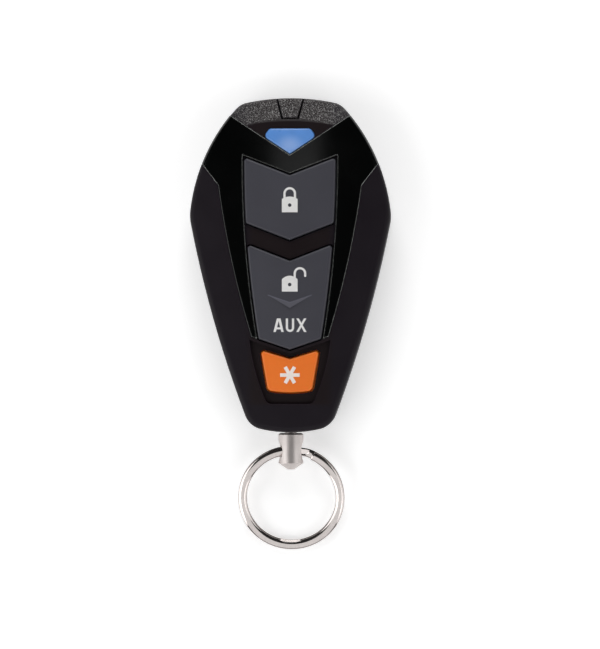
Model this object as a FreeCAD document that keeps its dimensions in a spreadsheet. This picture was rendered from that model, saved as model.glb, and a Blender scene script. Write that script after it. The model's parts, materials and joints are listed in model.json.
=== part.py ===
import FreeCAD, Part
import math
import os

import Sketcher
from FreeCAD import Rotation, Vector

# A car alarm remote on a split ring. It lies on its back face, which is the plane Z = 0.
# X runs across it, +Y towards the cap with the indicator lens, and +Z out of the buttons.

SIZES = (
    ("body_length", 62.4, "crown of the cap to the ring end"),
    ("widest_half", 18.8, "half width at the widest corner"),
    ("widest_place", 8.9, "Y of the widest corner"),
    ("cap_corner_half", 9.3, "half width of the cap's corners"),
    ("cap_corner_drop", 1.1, "how far the cap's corners lie below its crown"),
    ("shoulder_bulge", 2.04, "rise of the shoulder's arc over its chord"),
    ("flank_bulge", 0.93, "rise of the flank's arc over its chord"),
    ("foot_corner_half", 7.65, "half width of the corners at the ring end"),
    ("foot_corner_rise", 1.2, "how far these corners lie above the ring end"),
    ("cap_round", 3.6, "radius in plan of the cap's corners"),
    ("waist_round", 8, "radius in plan of the widest corners"),
    ("foot_round", 4, "radius in plan of the corners at the ring end"),
    ("seam_height", 5.2, "height of the seam between the two halves"),
    ("crown_height", 12.2, "height of the face at its highest"),
    ("crown_place", 3, "Y where the face is highest"),
    ("crown_foot_height", 10.7, "height of the face at the ring end"),
    ("crown_cap_height", 11.1, "height of the face at the cap, before its slope"),
    ("crown_across", 90, "radius of the face's crown across the body"),
    ("crown_reach", 37.44, "half length of the crown's arc, which runs past the body"),
    ("crown_turn", 20, "turn of that arc to each side, in degrees"),
    ("edge_round", 1.1, "rounding round the face"),
    ("back_round", 1.6, "rounding round the back"),
    ("cap_foot_radius", 27.1, "distance of the slope's foot from the middle"),
    ("cap_foot_height", 11.2, "height of the slope's foot"),
    ("cap_slope", 32, "fall of the cap's slope, in degrees"),
    ("side_wall", 1.3, "thickness of the side walls"),
    ("back_wall", 1.3, "thickness of the back wall"),
    ("wing_ceiling", 8.6, "inner height beside the keypad"),
    ("lip_tall", 0.8, "height of the rear half's lip over the seam"),
    ("lip_thick", 0.55, "thickness of that lip"),
    ("lip_inset", 0.7, "distance of that lip from the outside"),
    ("lip_head", 0.25, "gap over that lip"),
    ("fit_gap", 0.05, "radial clearance of running and sliding fits"),
    ("touch_gap", 0.03, "clearance between pieces that press on each other"),
    ("clip_gap", 0.3, "gap from the back wall to the battery clip"),
    ("clip_thick", 0.25, "thickness of the battery clip"),
    ("clip_wide", 5, "width of the battery clip"),
    ("cell_round", 20, "diameter of the coin cell"),
    ("cell_thick", 3.2, "thickness of the coin cell"),
    ("cell_place", 6, "Y of the coin cell's middle"),
    ("can_wall", 0.3, "wall of the cell's can"),
    ("gasket_wide", 0.6, "width of the cell's gasket"),
    ("lid_proud", 0.2, "rise of the cell's lid over its can"),
    ("contact_tall", 0.5, "height of the bowed contact on the cell's lid"),
    ("contact_thick", 0.15, "thickness of that contact"),
    ("contact_long", 9, "length of that contact"),
    ("contact_wide", 3, "width of that contact"),
    ("board_thick", 0.8, "thickness of the circuit board"),
    ("board_gap", 0.35, "gap from the side walls to the board"),
    ("antenna_inset", 0.8, "distance of the antenna loop from the board's edge"),
    ("antenna_wide", 1, "width of the antenna loop"),
    ("antenna_thick", 0.3, "thickness of the antenna loop"),
    ("post_round", 2.4, "diameter of the posts that clamp the board"),
    ("pin_round", 1.2, "diameter of the pins that locate the board"),
    ("cap_clamp_half", 13, "distance from the middle of the posts near the cap"),
    ("cap_clamp_place", 14, "Y of these posts"),
    ("waist_clamp_half", 12.4, "distance from the middle of the posts at the waist"),
    ("waist_clamp_place", -3, "Y of these posts"),
    ("foot_clamp_half", 8.2, "distance from the middle of the posts near the ring end"),
    ("foot_clamp_place", -20, "Y of these posts"),
    ("chip_long", 7.8, "length of the microcontroller across the body"),
    ("chip_wide", 5.3, "width of the microcontroller"),
    ("chip_tall", 1.5, "height of the microcontroller"),
    ("chip_place", -11.8, "Y of the microcontroller"),
    ("lead_wide", 0.3, "width of its leads"),
    ("lead_thick", 0.15, "thickness of its leads"),
    ("lead_long", 0.8, "reach of its leads"),
    ("lead_pitch", 0.7, "distance between its leads"),
    ("part_long", 1, "length of the small components"),
    ("part_wide", 0.5, "width of the small components"),
    ("part_tall", 0.45, "height of the small components"),
    ("saw_long", 3.8, "length of the resonator's case"),
    ("saw_wide", 3.8, "width of the resonator's case"),
    ("saw_tall", 1.3, "height of the resonator's case"),
    ("saw_side", 6.2, "X of the resonator"),
    ("saw_place", -15.8, "Y of the resonator"),
    ("crystal_long", 3.2, "length of the crystal's case"),
    ("crystal_wide", 2.5, "width of the crystal's case"),
    ("crystal_tall", 0.8, "height of the crystal's case"),
    ("crystal_side", -5.5, "X of the crystal"),
    ("crystal_place", -16.5, "Y of the crystal"),
    ("lock_switch", 12.3, "Y of the lock button's switch"),
    ("star_switch", -20.7, "Y of the star button's switch"),
    ("switch_wide", 4.5, "width of a tact switch"),
    ("switch_tall", 1.2, "height of a tact switch with its cover"),
    ("cover_thick", 0.15, "thickness of a switch's steel cover"),
    ("plunger_round", 2, "diameter of a switch's plunger"),
    ("plunger_rise", 0.4, "rise of a plunger over its switch"),
    ("press_travel", 0.25, "travel of a plunger and of its button"),
    ("switch_floor", 0.3, "floor of a switch's base under its plunger"),
    ("pip_tall", 0.25, "height of the keypad's pips"),
    ("pip_round", 2.4, "diameter of the keypad's pips"),
    ("sheet_thick", 0.5, "thickness of the keypad's sheet"),
    ("skirt_wide", 0.9, "width of the keypad's skirt"),
    ("keypad_gap", 0.3, "gap round the keypad"),
    ("flange_thick", 0.8, "thickness of the buttons' flanges"),
    ("flange_grip", 0.6, "how far the flanges reach under the face"),
    ("plate_thick", 0.7, "thickness of the face under the bezel"),
    ("column_top", 20.3, "Y of the top corners of the column of keys"),
    ("column_top_half", 8.5, "half width of the column at its top corners"),
    ("column_low", -13.5, "Y of the lowest corners of the column"),
    ("column_low_half", 5.85, "half width of the column there"),
    ("column_bulge", 0.7, "rise of the column's sides over their chords"),
    ("vee_slope", 0.39, "rise per millimetre of the V edges"),
    ("low_vee_slope", 0.34, "rise per millimetre of the lowest key's V edges"),
    ("bezel_vee", 17, "Y of the apex of the bezel's opening"),
    ("lock_top", 16.7, "Y of the lock button's upper apex"),
    ("lock_low", 4.6, "Y of the lock button's lower apex"),
    ("rocker_top", 0.75, "Y of the rocker's upper apex"),
    ("rocker_low", -15.75, "Y of the rocker's lower apex"),
    ("rocker_pivot", -6.1, "Y of the rocker's pins"),
    ("pivot_reach", 5.2, "distance of the rocker's switches from its pins"),
    ("trunnion_round", 0.7, "diameter of the rocker's pins"),
    ("trunnion_long", 1.2, "length of the rocker's pins"),
    ("bearing_wide", 1, "width of the blocks that hold the pins"),
    ("bearing_deep", 2.2, "length of these blocks along the body"),
    ("bearing_under", 0.3, "wall of these blocks under the pins"),
    ("chevron_half", 4.1, "half width of the rocker's chevron"),
    ("chevron_end", -5.6, "Y of the chevron's ends"),
    ("chevron_apex", -7, "Y of the chevron's upper apex"),
    ("chevron_low", -8, "Y of the chevron's lower apex"),
    ("chevron_rise", 0.3, "height of the chevron's lower apex over the rocker"),
    ("star_top", -17.5, "Y of the star button's upper apex"),
    ("star_low", -23.72, "Y of the star button's lowest point"),
    ("star_shoulder", -15.85, "Y of the star button's upper corners"),
    ("star_top_half", 5.45, "half width of the star button there"),
    ("star_foot", -23.35, "Y of the star button's lower corners"),
    ("star_low_half", 4.12, "half width of the star button there"),
    ("star_low_round", 0.9, "radius in plan of the star button's lower corners"),
    ("key_gap", 0.3, "gap round the buttons"),
    ("key_rise", 0.3, "rise of the buttons over the face"),
    ("key_round", 0.35, "rounding of the buttons' upper edges"),
    ("key_corner", 0.5, "radius in plan of the buttons' corners"),
    ("bezel_rise", 0.1, "rise of the bezel over the face"),
    ("bezel_gap", 0.12, "gap round the bezel"),
    ("bezel_edge", 0.15, "rounding of the bezel's upper edges"),
    ("bezel_edge_low", 11, "height over which these edges are rounded"),
    ("bezel_apex", 20.43, "Y of the apex of the bezel's upper edge"),
    ("bezel_slope", 0.667, "rise per millimetre of the bezel's upper edge"),
    ("bezel_corner_half", 13.4, "half width of the bezel's inner corner at the wing"),
    ("bezel_corner", 14.9, "Y of that corner"),
    ("bezel_flare", 1.3, "rise per millimetre of the bezel's edge out of that corner"),
    ("bezel_tip_half", 7.2, "half width of the tips of the bezel's legs"),
    ("bezel_tip", -13.35, "Y of these tips"),
    ("bezel_bulge", 0.6, "rise of the legs' outer sides over their chords"),
    ("bezel_skirt", 8.2, "height of the lower edge of the bezel's skirt"),
    ("bezel_skirt_thick", 0.7, "thickness of that skirt"),
    ("bar_drop", 0.5, "drop of the bar between the keys below the face"),
    ("lens_top", 25.4, "Y of the lens's upper edge"),
    ("lens_top_half", 3.8, "half width of that edge"),
    ("lens_side", 23.9, "Y of the lens's side corners"),
    ("lens_side_half", 4.9, "half width at these corners"),
    ("lens_apex", 20.62, "Y of the lens's lower apex"),
    ("lens_round", 0.8, "radius in plan of the lens's upper corners"),
    ("star_rise", 0.05, "rise of the star button over the face"),
    ("lens_rise", 0.15, "rise of the lens over the face"),
    ("lens_gap", 0.1, "gap round the lens"),
    ("lens_stem_round", 3, "diameter of the lens's light guide"),
    ("lens_place", 23.2, "Y of the light guide and of the LED"),
    ("led_long", 3.2, "length of the LED"),
    ("led_wide", 1.6, "width of the LED"),
    ("led_tall", 1.1, "height of the LED"),
    ("recess_drop", 0.9, "depth of the recess round the star button"),
    ("recess_lip", 0.4, "width of the lip under the rocker"),
    ("recess_top_half", 7.6, "half width of the recess at its upper corners"),
    ("recess_low_half", 4.3, "half width of the recess at its lower corners"),
    ("recess_low", -25.9, "Y of the lower end of the recess"),
    ("recess_bulge", 0.5, "rise of the recess's sides over their chords"),
    ("recess_round", 1.3, "radius in plan of the recess's lower corners"),
    ("slit_wide", 0.35, "width of the slits in the cap"),
    ("slit_deep", 0.5, "depth of these slits"),
    ("slit_top_half", 2.75, "distance of the slits from the middle at the crown"),
    ("slit_low_half", 1.5, "distance of the slits from the middle at their lower ends"),
    ("slit_low", 27.3, "Y of the slits' lower ends"),
    ("label_long", 26, "length of the bare recess for a label on the back"),
    ("label_wide", 15, "width of that recess"),
    ("label_deep", 0.2, "depth of that recess"),
    ("label_place", 3, "Y of the middle of that recess"),
    ("pry_long", 5, "length of the slot for a coin beside the ring end"),
    ("pry_deep", 0.5, "depth of that slot"),
    ("pry_tall", 0.8, "height of that slot"),
    ("pry_place", 8, "Y of that slot"),
    ("neck_round", 2.2, "diameter of the swivel post's neck"),
    ("end_wall", 1.6, "thickness of the housing round the neck"),
    ("groove_wide", 1.2, "width of the groove for the post's flange"),
    ("swivel_flange_thick", 1.1, "thickness of the post's flange"),
    ("swivel_flange_round", 4.6, "diameter of the post's flange"),
    ("swivel_block_half", 3.5, "half width of the block round the post"),
    ("swivel_block_deep", 5, "length of the block round the post"),
    ("barrel_round", 4.7, "diameter of the post's barrel"),
    ("barrel_gap", 0.25, "gap from the housing to the barrel"),
    ("barrel_long", 5.6, "length of the barrel"),
    ("barrel_edge", 0.25, "chamfer at the barrel's root"),
    ("tip_long", 1.2, "length of the barrel's conical tip"),
    ("tip_half", 0.6, "half width of the blunt end of the tip"),
    ("eye_place", 3.6, "distance of the cross hole from the housing's end"),
    ("eye_round", 2.95, "diameter of the cross hole"),
    ("eye_flare", 0.15, "flare of the cross hole's mouths"),
    ("eye_turn", 8, "turn of the cross hole about the post, in degrees"),
    ("ring_play", 0.1, "how far the ring sits off the hole's middle, towards the housing"),
    ("ring_round", 20, "outer diameter of the split ring"),
    ("wire_wide", 1.65, "width of the ring's wire"),
    ("wire_thick", 0.5, "thickness of the ring's wire"),
    ("wire_round", 0.2, "rounding of the wire's edges"),
    ("turn_gap", 0.42, "gap between the ring's two turns"),
    ("jog_start", 7, "angle from the hole to the jog between the turns, clockwise, in degrees"),
    ("jog_end", 23, "angle from the hole to the jog's other end"),
    ("jog_gap", 2.3, "angle from the jog to the wire's cut ends"),
    ("ring_clear", 0.02, "clearance of the ring's far end over the ground"),
)

# Places of the small components, as X and Y: over the board, and under it.
CHIPS_OVER = ((-5.5, 16.5), (5.5, 16.5), (-5.5, 6.5), (5.5, 6.5), (-11.5, 8), (11.5, 8), (-11.5, 5))
CHIPS_UNDER = ((-7.5, -9), (7.5, -9), (-7.5, -11), (7.5, -11), (-4, -19), (4, -19), (0, -21.5))

doc = FreeCAD.newDocument("remote")
sheet = doc.addObject("Spreadsheet::Sheet", "Sizes")
for row, (alias, value, note) in enumerate(SIZES, start=1):
    sheet.set(f"A{row}", alias)
    sheet.set(f"B{row}", str(value))
    sheet.setAlias(f"B{row}", alias)
    sheet.set(f"C{row}", note)
doc.recompute()


def size(alias):
    """One driving dimension, read from the sheet."""
    return float(sheet.get(alias))


# Heights are sums of driving dimensions, so each one is a list of their names.
LEVELS = {
    "clip_low": ("back_wall", "clip_gap"),
    "cell_low": ("back_wall", "clip_gap", "clip_thick"),
    "lid_top": ("back_wall", "clip_gap", "clip_thick", "cell_thick"),
    "board_low": ("back_wall", "clip_gap", "clip_thick", "cell_thick", "contact_tall"),
}
LEVELS["board_top"] = LEVELS["board_low"] + ("board_thick",)
LEVELS["cover_low"] = LEVELS["board_top"] + ("switch_tall", "-cover_thick")
LEVELS["switch_top"] = LEVELS["board_top"] + ("switch_tall",)
LEVELS["plunger_low"] = LEVELS["board_top"] + ("switch_floor", "press_travel", "touch_gap")
LEVELS["plunger_top"] = LEVELS["switch_top"] + ("plunger_rise",)
LEVELS["pip_low"] = LEVELS["plunger_top"] + ("touch_gap",)
LEVELS["sheet_low"] = LEVELS["pip_low"] + ("pip_tall",)
LEVELS["sheet_top"] = LEVELS["sheet_low"] + ("sheet_thick",)
LEVELS["flange_low"] = LEVELS["sheet_top"] + ("touch_gap",)
LEVELS["flange_top"] = LEVELS["flange_low"] + ("flange_thick",)
LEVELS["ceiling"] = LEVELS["flange_top"] + ("touch_gap",)
LEVELS["bezel_seat"] = LEVELS["ceiling"] + ("plate_thick",)
LEVELS["led_top"] = LEVELS["board_top"] + ("led_tall",)


def split_term(term):
    """A term's factor and name: a minus sign takes it away, and /2 halves it."""
    factor = -1.0 if term.startswith("-") else 1.0
    name = term.lstrip("-")
    if name.endswith("/2"):
        return factor / 2, name[:-2]
    return factor, name


def total(terms):
    """A sum of driving dimensions, as a number."""
    return sum(factor * size(name) for factor, name in map(split_term, terms))


def formula(terms):
    """The same sum, as an expression on the sheet's cells."""
    parts = [f"({factor}) * Sizes.{name} * 1 mm" for factor, name in map(split_term, terms)]
    return " + ".join(["0 mm"] + parts)


def level(name):
    """A height as a number."""
    return total(LEVELS[name])


def level_formula(name):
    """The same height as an expression."""
    return formula(LEVELS[name])


def cell(alias, factor="1"):
    """A cell as a length in an expression."""
    return f"Sizes.{alias} * {factor} * 1 mm"


NODES = []


def name_node(piece, label):
    """Mark an object as a sub-part that is written to a file of its own."""
    piece.Label = label
    NODES.append(piece)
    return piece


def feature(label, shape):
    """A sub-part whose shape is worked out in this script."""
    piece = doc.addObject("Part::Feature", label)
    piece.Shape = shape
    return name_node(piece, label)


def bind(piece, **formulas):
    """Bind properties of an object to the sheet."""
    for prop, formula in formulas.items():
        piece.setExpression(prop.replace("__", "."), formula)
    return piece


def primitive(kind, name, **formulas):
    """A Part primitive with its sizes and place bound to the sheet."""
    return bind(doc.addObject(f"Part::{kind}", name), **formulas)


def joined(kind, name, base, tool):
    """A cut, or a common part, of two objects."""
    piece = doc.addObject(f"Part::{kind}", name)
    piece.Base = base
    piece.Tool = tool
    return piece


def fused(name, parts):
    """Several objects as one solid."""
    piece = doc.addObject("Part::MultiFuse", name)
    piece.Shapes = parts
    return piece


# Plan outlines

LENGTH = size("body_length")
Y_TOP = LENGTH / 2
Y_END = -LENGTH / 2
TALL = 40.0
SUBSTITUTIONS = 20
UPRIGHT = 0.05
UP = Vector(0, 0, 1)
ALONG = Vector(0, 1, 0)
ACROSS = Vector(1, 0, 0)


def bulged(start, end, rise):
    """The middle of an arc from start to end that rises to the left of its chord."""
    run = end - start
    return (start + end) / 2 + Vector(-run.y, run.x, 0) / run.Length * rise


def bulged_circle(start, end, rise):
    """The whole circle of that arc."""
    through = Part.Circle(start, bulged(start, end, rise), end)
    return Part.Circle(through.Center, UP, through.Radius)


def inward(curve, distance, inside):
    """A line or circle moved by a distance towards the inside of an outline."""
    if isinstance(curve, Part.Circle):
        within = inside.distanceToPoint(curve.Center) < curve.Radius
        radius = curve.Radius - distance if within else curve.Radius + distance
        return Part.Circle(curve.Center, UP, radius)
    foot = curve.value(curve.parameter(inside))
    step = (inside - foot) / inside.distanceToPoint(foot) * distance
    return Part.Line(curve.Location + step, curve.Location + step + curve.Direction)


def corner(x, y, radius=0.0, bulge=0.0):
    """A corner of an outline: its place, its rounding, and the bulge of the edge that follows it."""
    return (Vector(x, y, 0), radius, bulge)


def outline(marks):
    """A closed plan face through corners listed clockwise, so that a bulge goes outwards."""
    corners = [mark[0] for mark in marks]
    heights = [place.y for place in corners]
    inside = Vector(0, (max(heights) + min(heights)) / 2, 0)
    curves = []
    for index, (start, _, bulge) in enumerate(marks):
        end = corners[(index + 1) % len(marks)]
        curves.append(bulged_circle(start, end, bulge) if bulge else Part.Line(start, end))
    starts = list(corners)
    ends = corners[1:] + corners[:1]
    rounds = {}
    for index, (place, radius, _) in enumerate(marks):
        if not radius:
            continue
        before, after = curves[index - 1], curves[index]
        meeting = inward(before, radius, inside).intersectCC(inward(after, radius, inside))
        centres = [Vector(point.X, point.Y, 0) for point in meeting]
        centre = min(centres, key=place.distanceToPoint)
        out = place - centre
        ends[index - 1] = before.value(before.parameter(centre))
        starts[index] = after.value(after.parameter(centre))
        middle = centre + out / out.Length * radius
        rounds[index] = Part.Arc(ends[index - 1], middle, starts[index]).toShape()
    edges = []
    for index, curve in enumerate(curves):
        if index in rounds:
            edges.append(rounds[index])
        start, end = starts[index], ends[index]
        if isinstance(curve, Part.Circle):
            middle = curve.value(curve.parameter((start + end) / 2))
            edges.append(Part.Arc(start, middle, end).toShape())
        else:
            edges.append(Part.makeLine(start, end))
    return Part.Face(Part.Wire(edges))


def symmetric(right, top_bulge=0.0):
    """An outline from its right half, listed downwards. Corners on the middle line have no twin."""
    left = []
    for index in reversed(range(len(right))):
        place, radius, _ = right[index]
        bulge = right[index - 1][2] if index else top_bulge
        if place.x:
            left.append(corner(-place.x, place.y, radius, bulge))
    return outline(right + left)


def prism(plan, low, high):
    """The faces of a plan raised into solids between two heights."""
    solids = []
    for face in plan.Faces:
        solid = face.extrude(Vector(0, 0, high - low))
        solid.translate(Vector(0, 0, low))
        solids.append(solid)
    return solids[0].multiFuse(solids[1:]) if len(solids) > 1 else solids[0]


def wider(plan, distance):
    """A plan offset outwards, or inwards where the distance is negative."""
    return plan.makeOffset2D(distance)


# The plans of the body, the keys and the openings

def body_plan():
    """The outline of the body: arcs between three pairs of rounded corners."""
    drop = size("cap_corner_drop")
    rise = size("foot_corner_rise")
    return symmetric(
        [
            corner(size("cap_corner_half"), Y_TOP - drop, size("cap_round"), size("shoulder_bulge")),
            corner(size("widest_half"), size("widest_place"), size("waist_round"), size("flank_bulge")),
            corner(size("foot_corner_half"), Y_END + rise, size("foot_round"), rise),
        ],
        drop,
    )


def column_circle(reach=0.0):
    """The long arc that the keys' right sides lie on, moved outwards by reach."""
    top = Vector(size("column_top_half"), size("column_top"), 0)
    low = Vector(size("column_low_half"), size("column_low"), 0)
    circle = bulged_circle(top, low, size("column_bulge"))
    return Part.Circle(circle.Center, UP, circle.Radius + reach)


def column_half(y, reach=0.0):
    """Half the width of the column of keys at Y, or of a wider column round it."""
    circle = column_circle(reach)
    return circle.Center.x + math.sqrt(circle.Radius ** 2 - (y - circle.Center.y) ** 2)


def vee_corner(apex, slope, reach=0.0):
    """Where a V edge from its apex meets the column's side, by repeated substitution."""
    y = apex
    for _ in range(SUBSTITUTIONS):
        y = apex + slope * column_half(y, reach)
    return column_half(y, reach), y


def column_plan(top, low, low_slope, reach=0.0, rounding=0.0):
    """The column between two V edges, from their apexes."""
    top_x, top_y = vee_corner(top, SLOPE, reach)
    low_x, low_y = vee_corner(low, low_slope, reach)
    radius = column_circle(reach).Radius
    chord = math.hypot(top_x - low_x, top_y - low_y)
    bulge = radius - math.sqrt(radius ** 2 - chord ** 2 / 4)
    return symmetric([
        corner(0, top),
        corner(top_x, top_y, rounding, bulge),
        corner(low_x, low_y, rounding),
        corner(0, low),
    ])


def star_plan():
    """The plan of the star button: rounded corners, and a bowed lower edge."""
    foot = size("star_foot")
    return symmetric([
        corner(0, size("star_top")),
        corner(size("star_top_half"), size("star_shoulder"), size("key_corner")),
        corner(size("star_low_half"), foot, size("star_low_round"), foot - size("star_low")),
    ])


def lens_plan():
    """The plan of the indicator lens: a shield with rounded corners."""
    rounding = size("lens_round")
    return symmetric([
        corner(size("lens_top_half"), size("lens_top"), rounding),
        corner(size("lens_side_half"), size("lens_side"), rounding),
        corner(0, size("lens_apex")),
    ])


def keypad_plan():
    """The plan of the keypad, which reaches under the flanges of all the buttons."""
    grip = size("key_gap") + size("flange_grip") + size("fit_gap")
    low_grip = grip + size("keypad_gap")
    return symmetric([
        corner(size("column_top_half") + grip, size("column_top") + grip, 0, size("column_bulge")),
        corner(size("column_low_half") + low_grip, size("column_low")),
        corner(size("star_top_half") + grip, size("star_shoulder")),
        corner(size("star_low_half") + low_grip, size("star_low") - grip),
    ])


def bezel_plan():
    """The plan of the bezel's outside, which runs past the body at the shoulders."""
    reach = LENGTH / 2
    apex = size("bezel_apex")
    wing_half, wing = size("bezel_corner_half"), size("bezel_corner")
    tip_half, tip = size("bezel_tip_half"), size("bezel_tip")
    return symmetric([
        corner(0, apex),
        corner(reach, apex + size("bezel_slope") * reach),
        corner(reach, wing + size("bezel_flare") * (reach - wing_half)),
        corner(wing_half, wing, 0, size("bezel_bulge")),
        corner(tip_half, tip),
        corner(0, tip - LOW_SLOPE * tip_half),
    ])


def recess_plan():
    """The plan of the recess round the star button."""
    lip = size("rocker_low") - size("key_gap") - size("recess_lip")
    half = size("recess_top_half")
    return symmetric([
        corner(0, lip),
        corner(half, lip + LOW_SLOPE * half, 0, size("recess_bulge")),
        corner(size("recess_low_half"), size("recess_low"), size("recess_round")),
    ])


SLOPE = size("vee_slope")
LOW_SLOPE = size("low_vee_slope")
GAP = size("key_gap")
BODY = body_plan()
INSIDE = wider(BODY, -size("side_wall"))
LOCK = column_plan(size("lock_top"), size("lock_low"), SLOPE, rounding=size("key_corner"))
ROCKER = column_plan(size("rocker_top"), size("rocker_low"), LOW_SLOPE, rounding=size("key_corner"))
STAR = star_plan()
LENS = lens_plan()
KEYPAD = keypad_plan()
WELL = column_plan(size("bezel_vee"), size("recess_low"), LOW_SLOPE, reach=GAP)
BAR = column_plan(size("bezel_vee"), size("rocker_low") - GAP, LOW_SLOPE, reach=GAP)
FLANGE_REACH = GAP + size("flange_grip")
ROCKER_HALF = column_half(size("rocker_pivot"))
SWITCHES = {
    "lock": ("lock_switch",),
    "unlock": ("rocker_pivot", "pivot_reach"),
    "aux": ("rocker_pivot", "-pivot_reach"),
    "star": ("star_switch",),
}
CLAMPS = [(size(f"{name}_clamp_half"), size(f"{name}_clamp_place")) for name in ("cap", "waist", "foot")]


# The face's crown

def crown(rise=0.0):
    """Everything below the crowned face: an arc along Y, turned about a far axis below it."""
    marks = (
        (Y_END, size("crown_foot_height")),
        (size("crown_place"), size("crown_height")),
        (Y_TOP, size("crown_cap_height")),
    )
    arch = Part.Circle(*[Vector(0, y, z) for y, z in marks])
    middle = arch.Center
    reach = size("crown_reach")
    drop = middle.z + math.sqrt(arch.Radius ** 2 - reach ** 2)
    left = Vector(0, middle.y - reach, drop)
    right = Vector(0, middle.y + reach, drop)
    peak = Vector(0, middle.y, middle.z + arch.Radius)
    sides = Part.makePolygon([right, right - TALL * UP, left - TALL * UP, left])
    face = Part.Face(Part.Wire([Part.Arc(left, peak, right).toShape()] + sides.Edges))
    axis = Vector(0, 0, size("crown_height") - size("crown_across"))
    half_turn = size("crown_turn")
    face.rotate(axis, ALONG, -half_turn)
    solid = face.revolve(axis, ALONG, 2 * half_turn)
    solid.translate(Vector(0, 0, rise))
    return solid


def above_crown(plan, rise):
    """The space over a plan from the crown, raised or lowered, upwards."""
    return prism(plan, 0, TALL).cut(crown(rise))


def rim_edges(solid, low):
    """The edges above a height where an upright wall meets the face."""
    found = []
    for edge in solid.Edges:
        if min(vertex.Z for vertex in edge.Vertexes) < low:
            continue
        walls = 0
        for face in solid.ancestorsOfType(edge, Part.Face):
            first, last, low_v, high_v = face.ParameterRange
            normal = face.normalAt((first + last) / 2, (low_v + high_v) / 2)
            walls += abs(normal.z) < UPRIGHT
        if walls == 1:
            found.append(edge)
    return found


def cap_slope(rise=0.0):
    """What the slope at the cap takes away: all that lies outside a wide cone."""
    fall = math.tan(math.radians(size("cap_slope")))
    height = size("cap_foot_height") + rise
    radius = size("cap_foot_radius") + height / fall
    cone = Part.makeCone(radius, radius - TALL / 2 / fall, TALL / 2)
    block = Part.makeBox(LENGTH, LENGTH, TALL, Vector(-LENGTH / 2, size("widest_place"), -1))
    return block.cut(cone)


def rounded_body(rise=0.0, sloped=True):
    """The raised outline under the crown and the cap's slope, with its rim rounded."""
    solid = prism(BODY, 0, TALL).common(crown(rise))
    if sloped:
        solid = solid.cut(cap_slope(rise))
    solid = solid.removeSplitter()
    return solid.makeFillet(size("edge_round"), rim_edges(solid, size("seam_height")))


# The bezel

def bezel_space(gap):
    """What the bezel fills, or with a gap what its pocket takes out of the face."""
    plan, well = bezel_plan(), WELL
    if gap:
        plan, well = wider(plan, gap), wider(well, -gap)
    ring = plan.cut(well)
    plate = prism(ring, level("bezel_seat") + size("fit_gap") - gap, TALL)
    inset = wider(BODY, -size("bezel_skirt_thick") - gap)
    return plate.fuse(prism(ring.cut(inset), size("bezel_skirt") - gap, TALL))


def bezel():
    """The gloss bezel: two legs and a V between them, with a skirt over the shoulders."""
    solid = rounded_body(size("bezel_rise"), sloped=False).common(bezel_space(0)).removeSplitter()
    return solid.makeFillet(size("bezel_edge"), rim_edges(solid, size("bezel_edge_low")))


# The two halves of the case

def swivel_space():
    """The neck's hole and the groove for the flange in the block at the ring end."""
    gap = size("fit_gap")
    end = Vector(0, Y_END - 1, size("seam_height"))
    deep = 1 + size("end_wall") + size("groove_wide") / 2
    hole = Part.makeCylinder(size("neck_round") / 2 + gap, deep, end, ALONG)
    place = Vector(0, Y_END + size("end_wall"), size("seam_height"))
    radius = size("swivel_flange_round") / 2 + gap
    return hole.fuse(Part.makeCylinder(radius, size("groove_wide"), place, ALONG))


def swivel_block(low, high):
    """The solid block round the swivel post, between two heights."""
    half = size("swivel_block_half")
    block = Part.makeBox(2 * half, size("swivel_block_deep"), high - low, Vector(-half, Y_END, low))
    return block.common(prism(wider(BODY, -size("lip_inset") / 2), low, high))


def clamp_posts(low, high, diameter):
    """Upright round posts at the places where the board is held."""
    posts = []
    for x, y in CLAMPS:
        for side in (-x, x):
            posts.append(Part.makeCylinder(diameter / 2, high - low, Vector(side, y, low)))
    return posts


def rear_housing():
    """The back half: a tray with a lip, posts under the board and half of the swivel's seat."""
    seam = size("seam_height")
    floor = size("back_wall")
    shell = prism(BODY, 0, seam)
    bottom = [edge for edge in shell.Edges if all(abs(vertex.Z) < 1e-6 for vertex in edge.Vertexes)]
    shell = shell.makeFillet(size("back_round"), bottom)
    shell = shell.cut(prism(INSIDE, floor, seam + 1))
    lip = wider(BODY, -size("lip_inset")).cut(wider(BODY, -size("lip_inset") - size("lip_thick")))
    lip = prism(lip, seam - size("lip_tall"), seam + size("lip_tall"))
    posts = clamp_posts(floor / 2, level("board_low"), size("post_round"))
    shell = shell.multiFuse([lip, swivel_block(floor / 2, seam)] + posts).cut(swivel_space())
    room = size("swivel_block_half") + size("barrel_gap")
    notch = Part.makeBox(2 * room, 2 * room, TALL, Vector(-room, Y_END - room, seam))
    wide, long, deep = size("label_wide"), size("label_long"), size("label_deep")
    label = Part.makeBox(wide, long, 2 * deep, Vector(-wide / 2, size("label_place") - long / 2, -deep))
    tall = size("pry_tall")
    start = Vector(0, size("pry_place") - size("pry_long") / 2, seam - tall)
    pry = Part.makeBox(LENGTH, size("pry_long"), tall, start)
    pry = pry.cut(prism(wider(BODY, -size("pry_deep")), 0, TALL))
    return shell.cut(notch).cut(label).cut(pry).removeSplitter()


def keypad_cavity():
    """The space under the face for the keypad, the flanges and the lens's collar."""
    low = size("wing_ceiling") - size("touch_gap")
    pad = prism(wider(KEYPAD, size("keypad_gap")), low, level("ceiling"))
    return pad.fuse(prism(wider(LENS, size("flange_grip") + size("fit_gap")), low, level("ceiling")))


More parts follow.
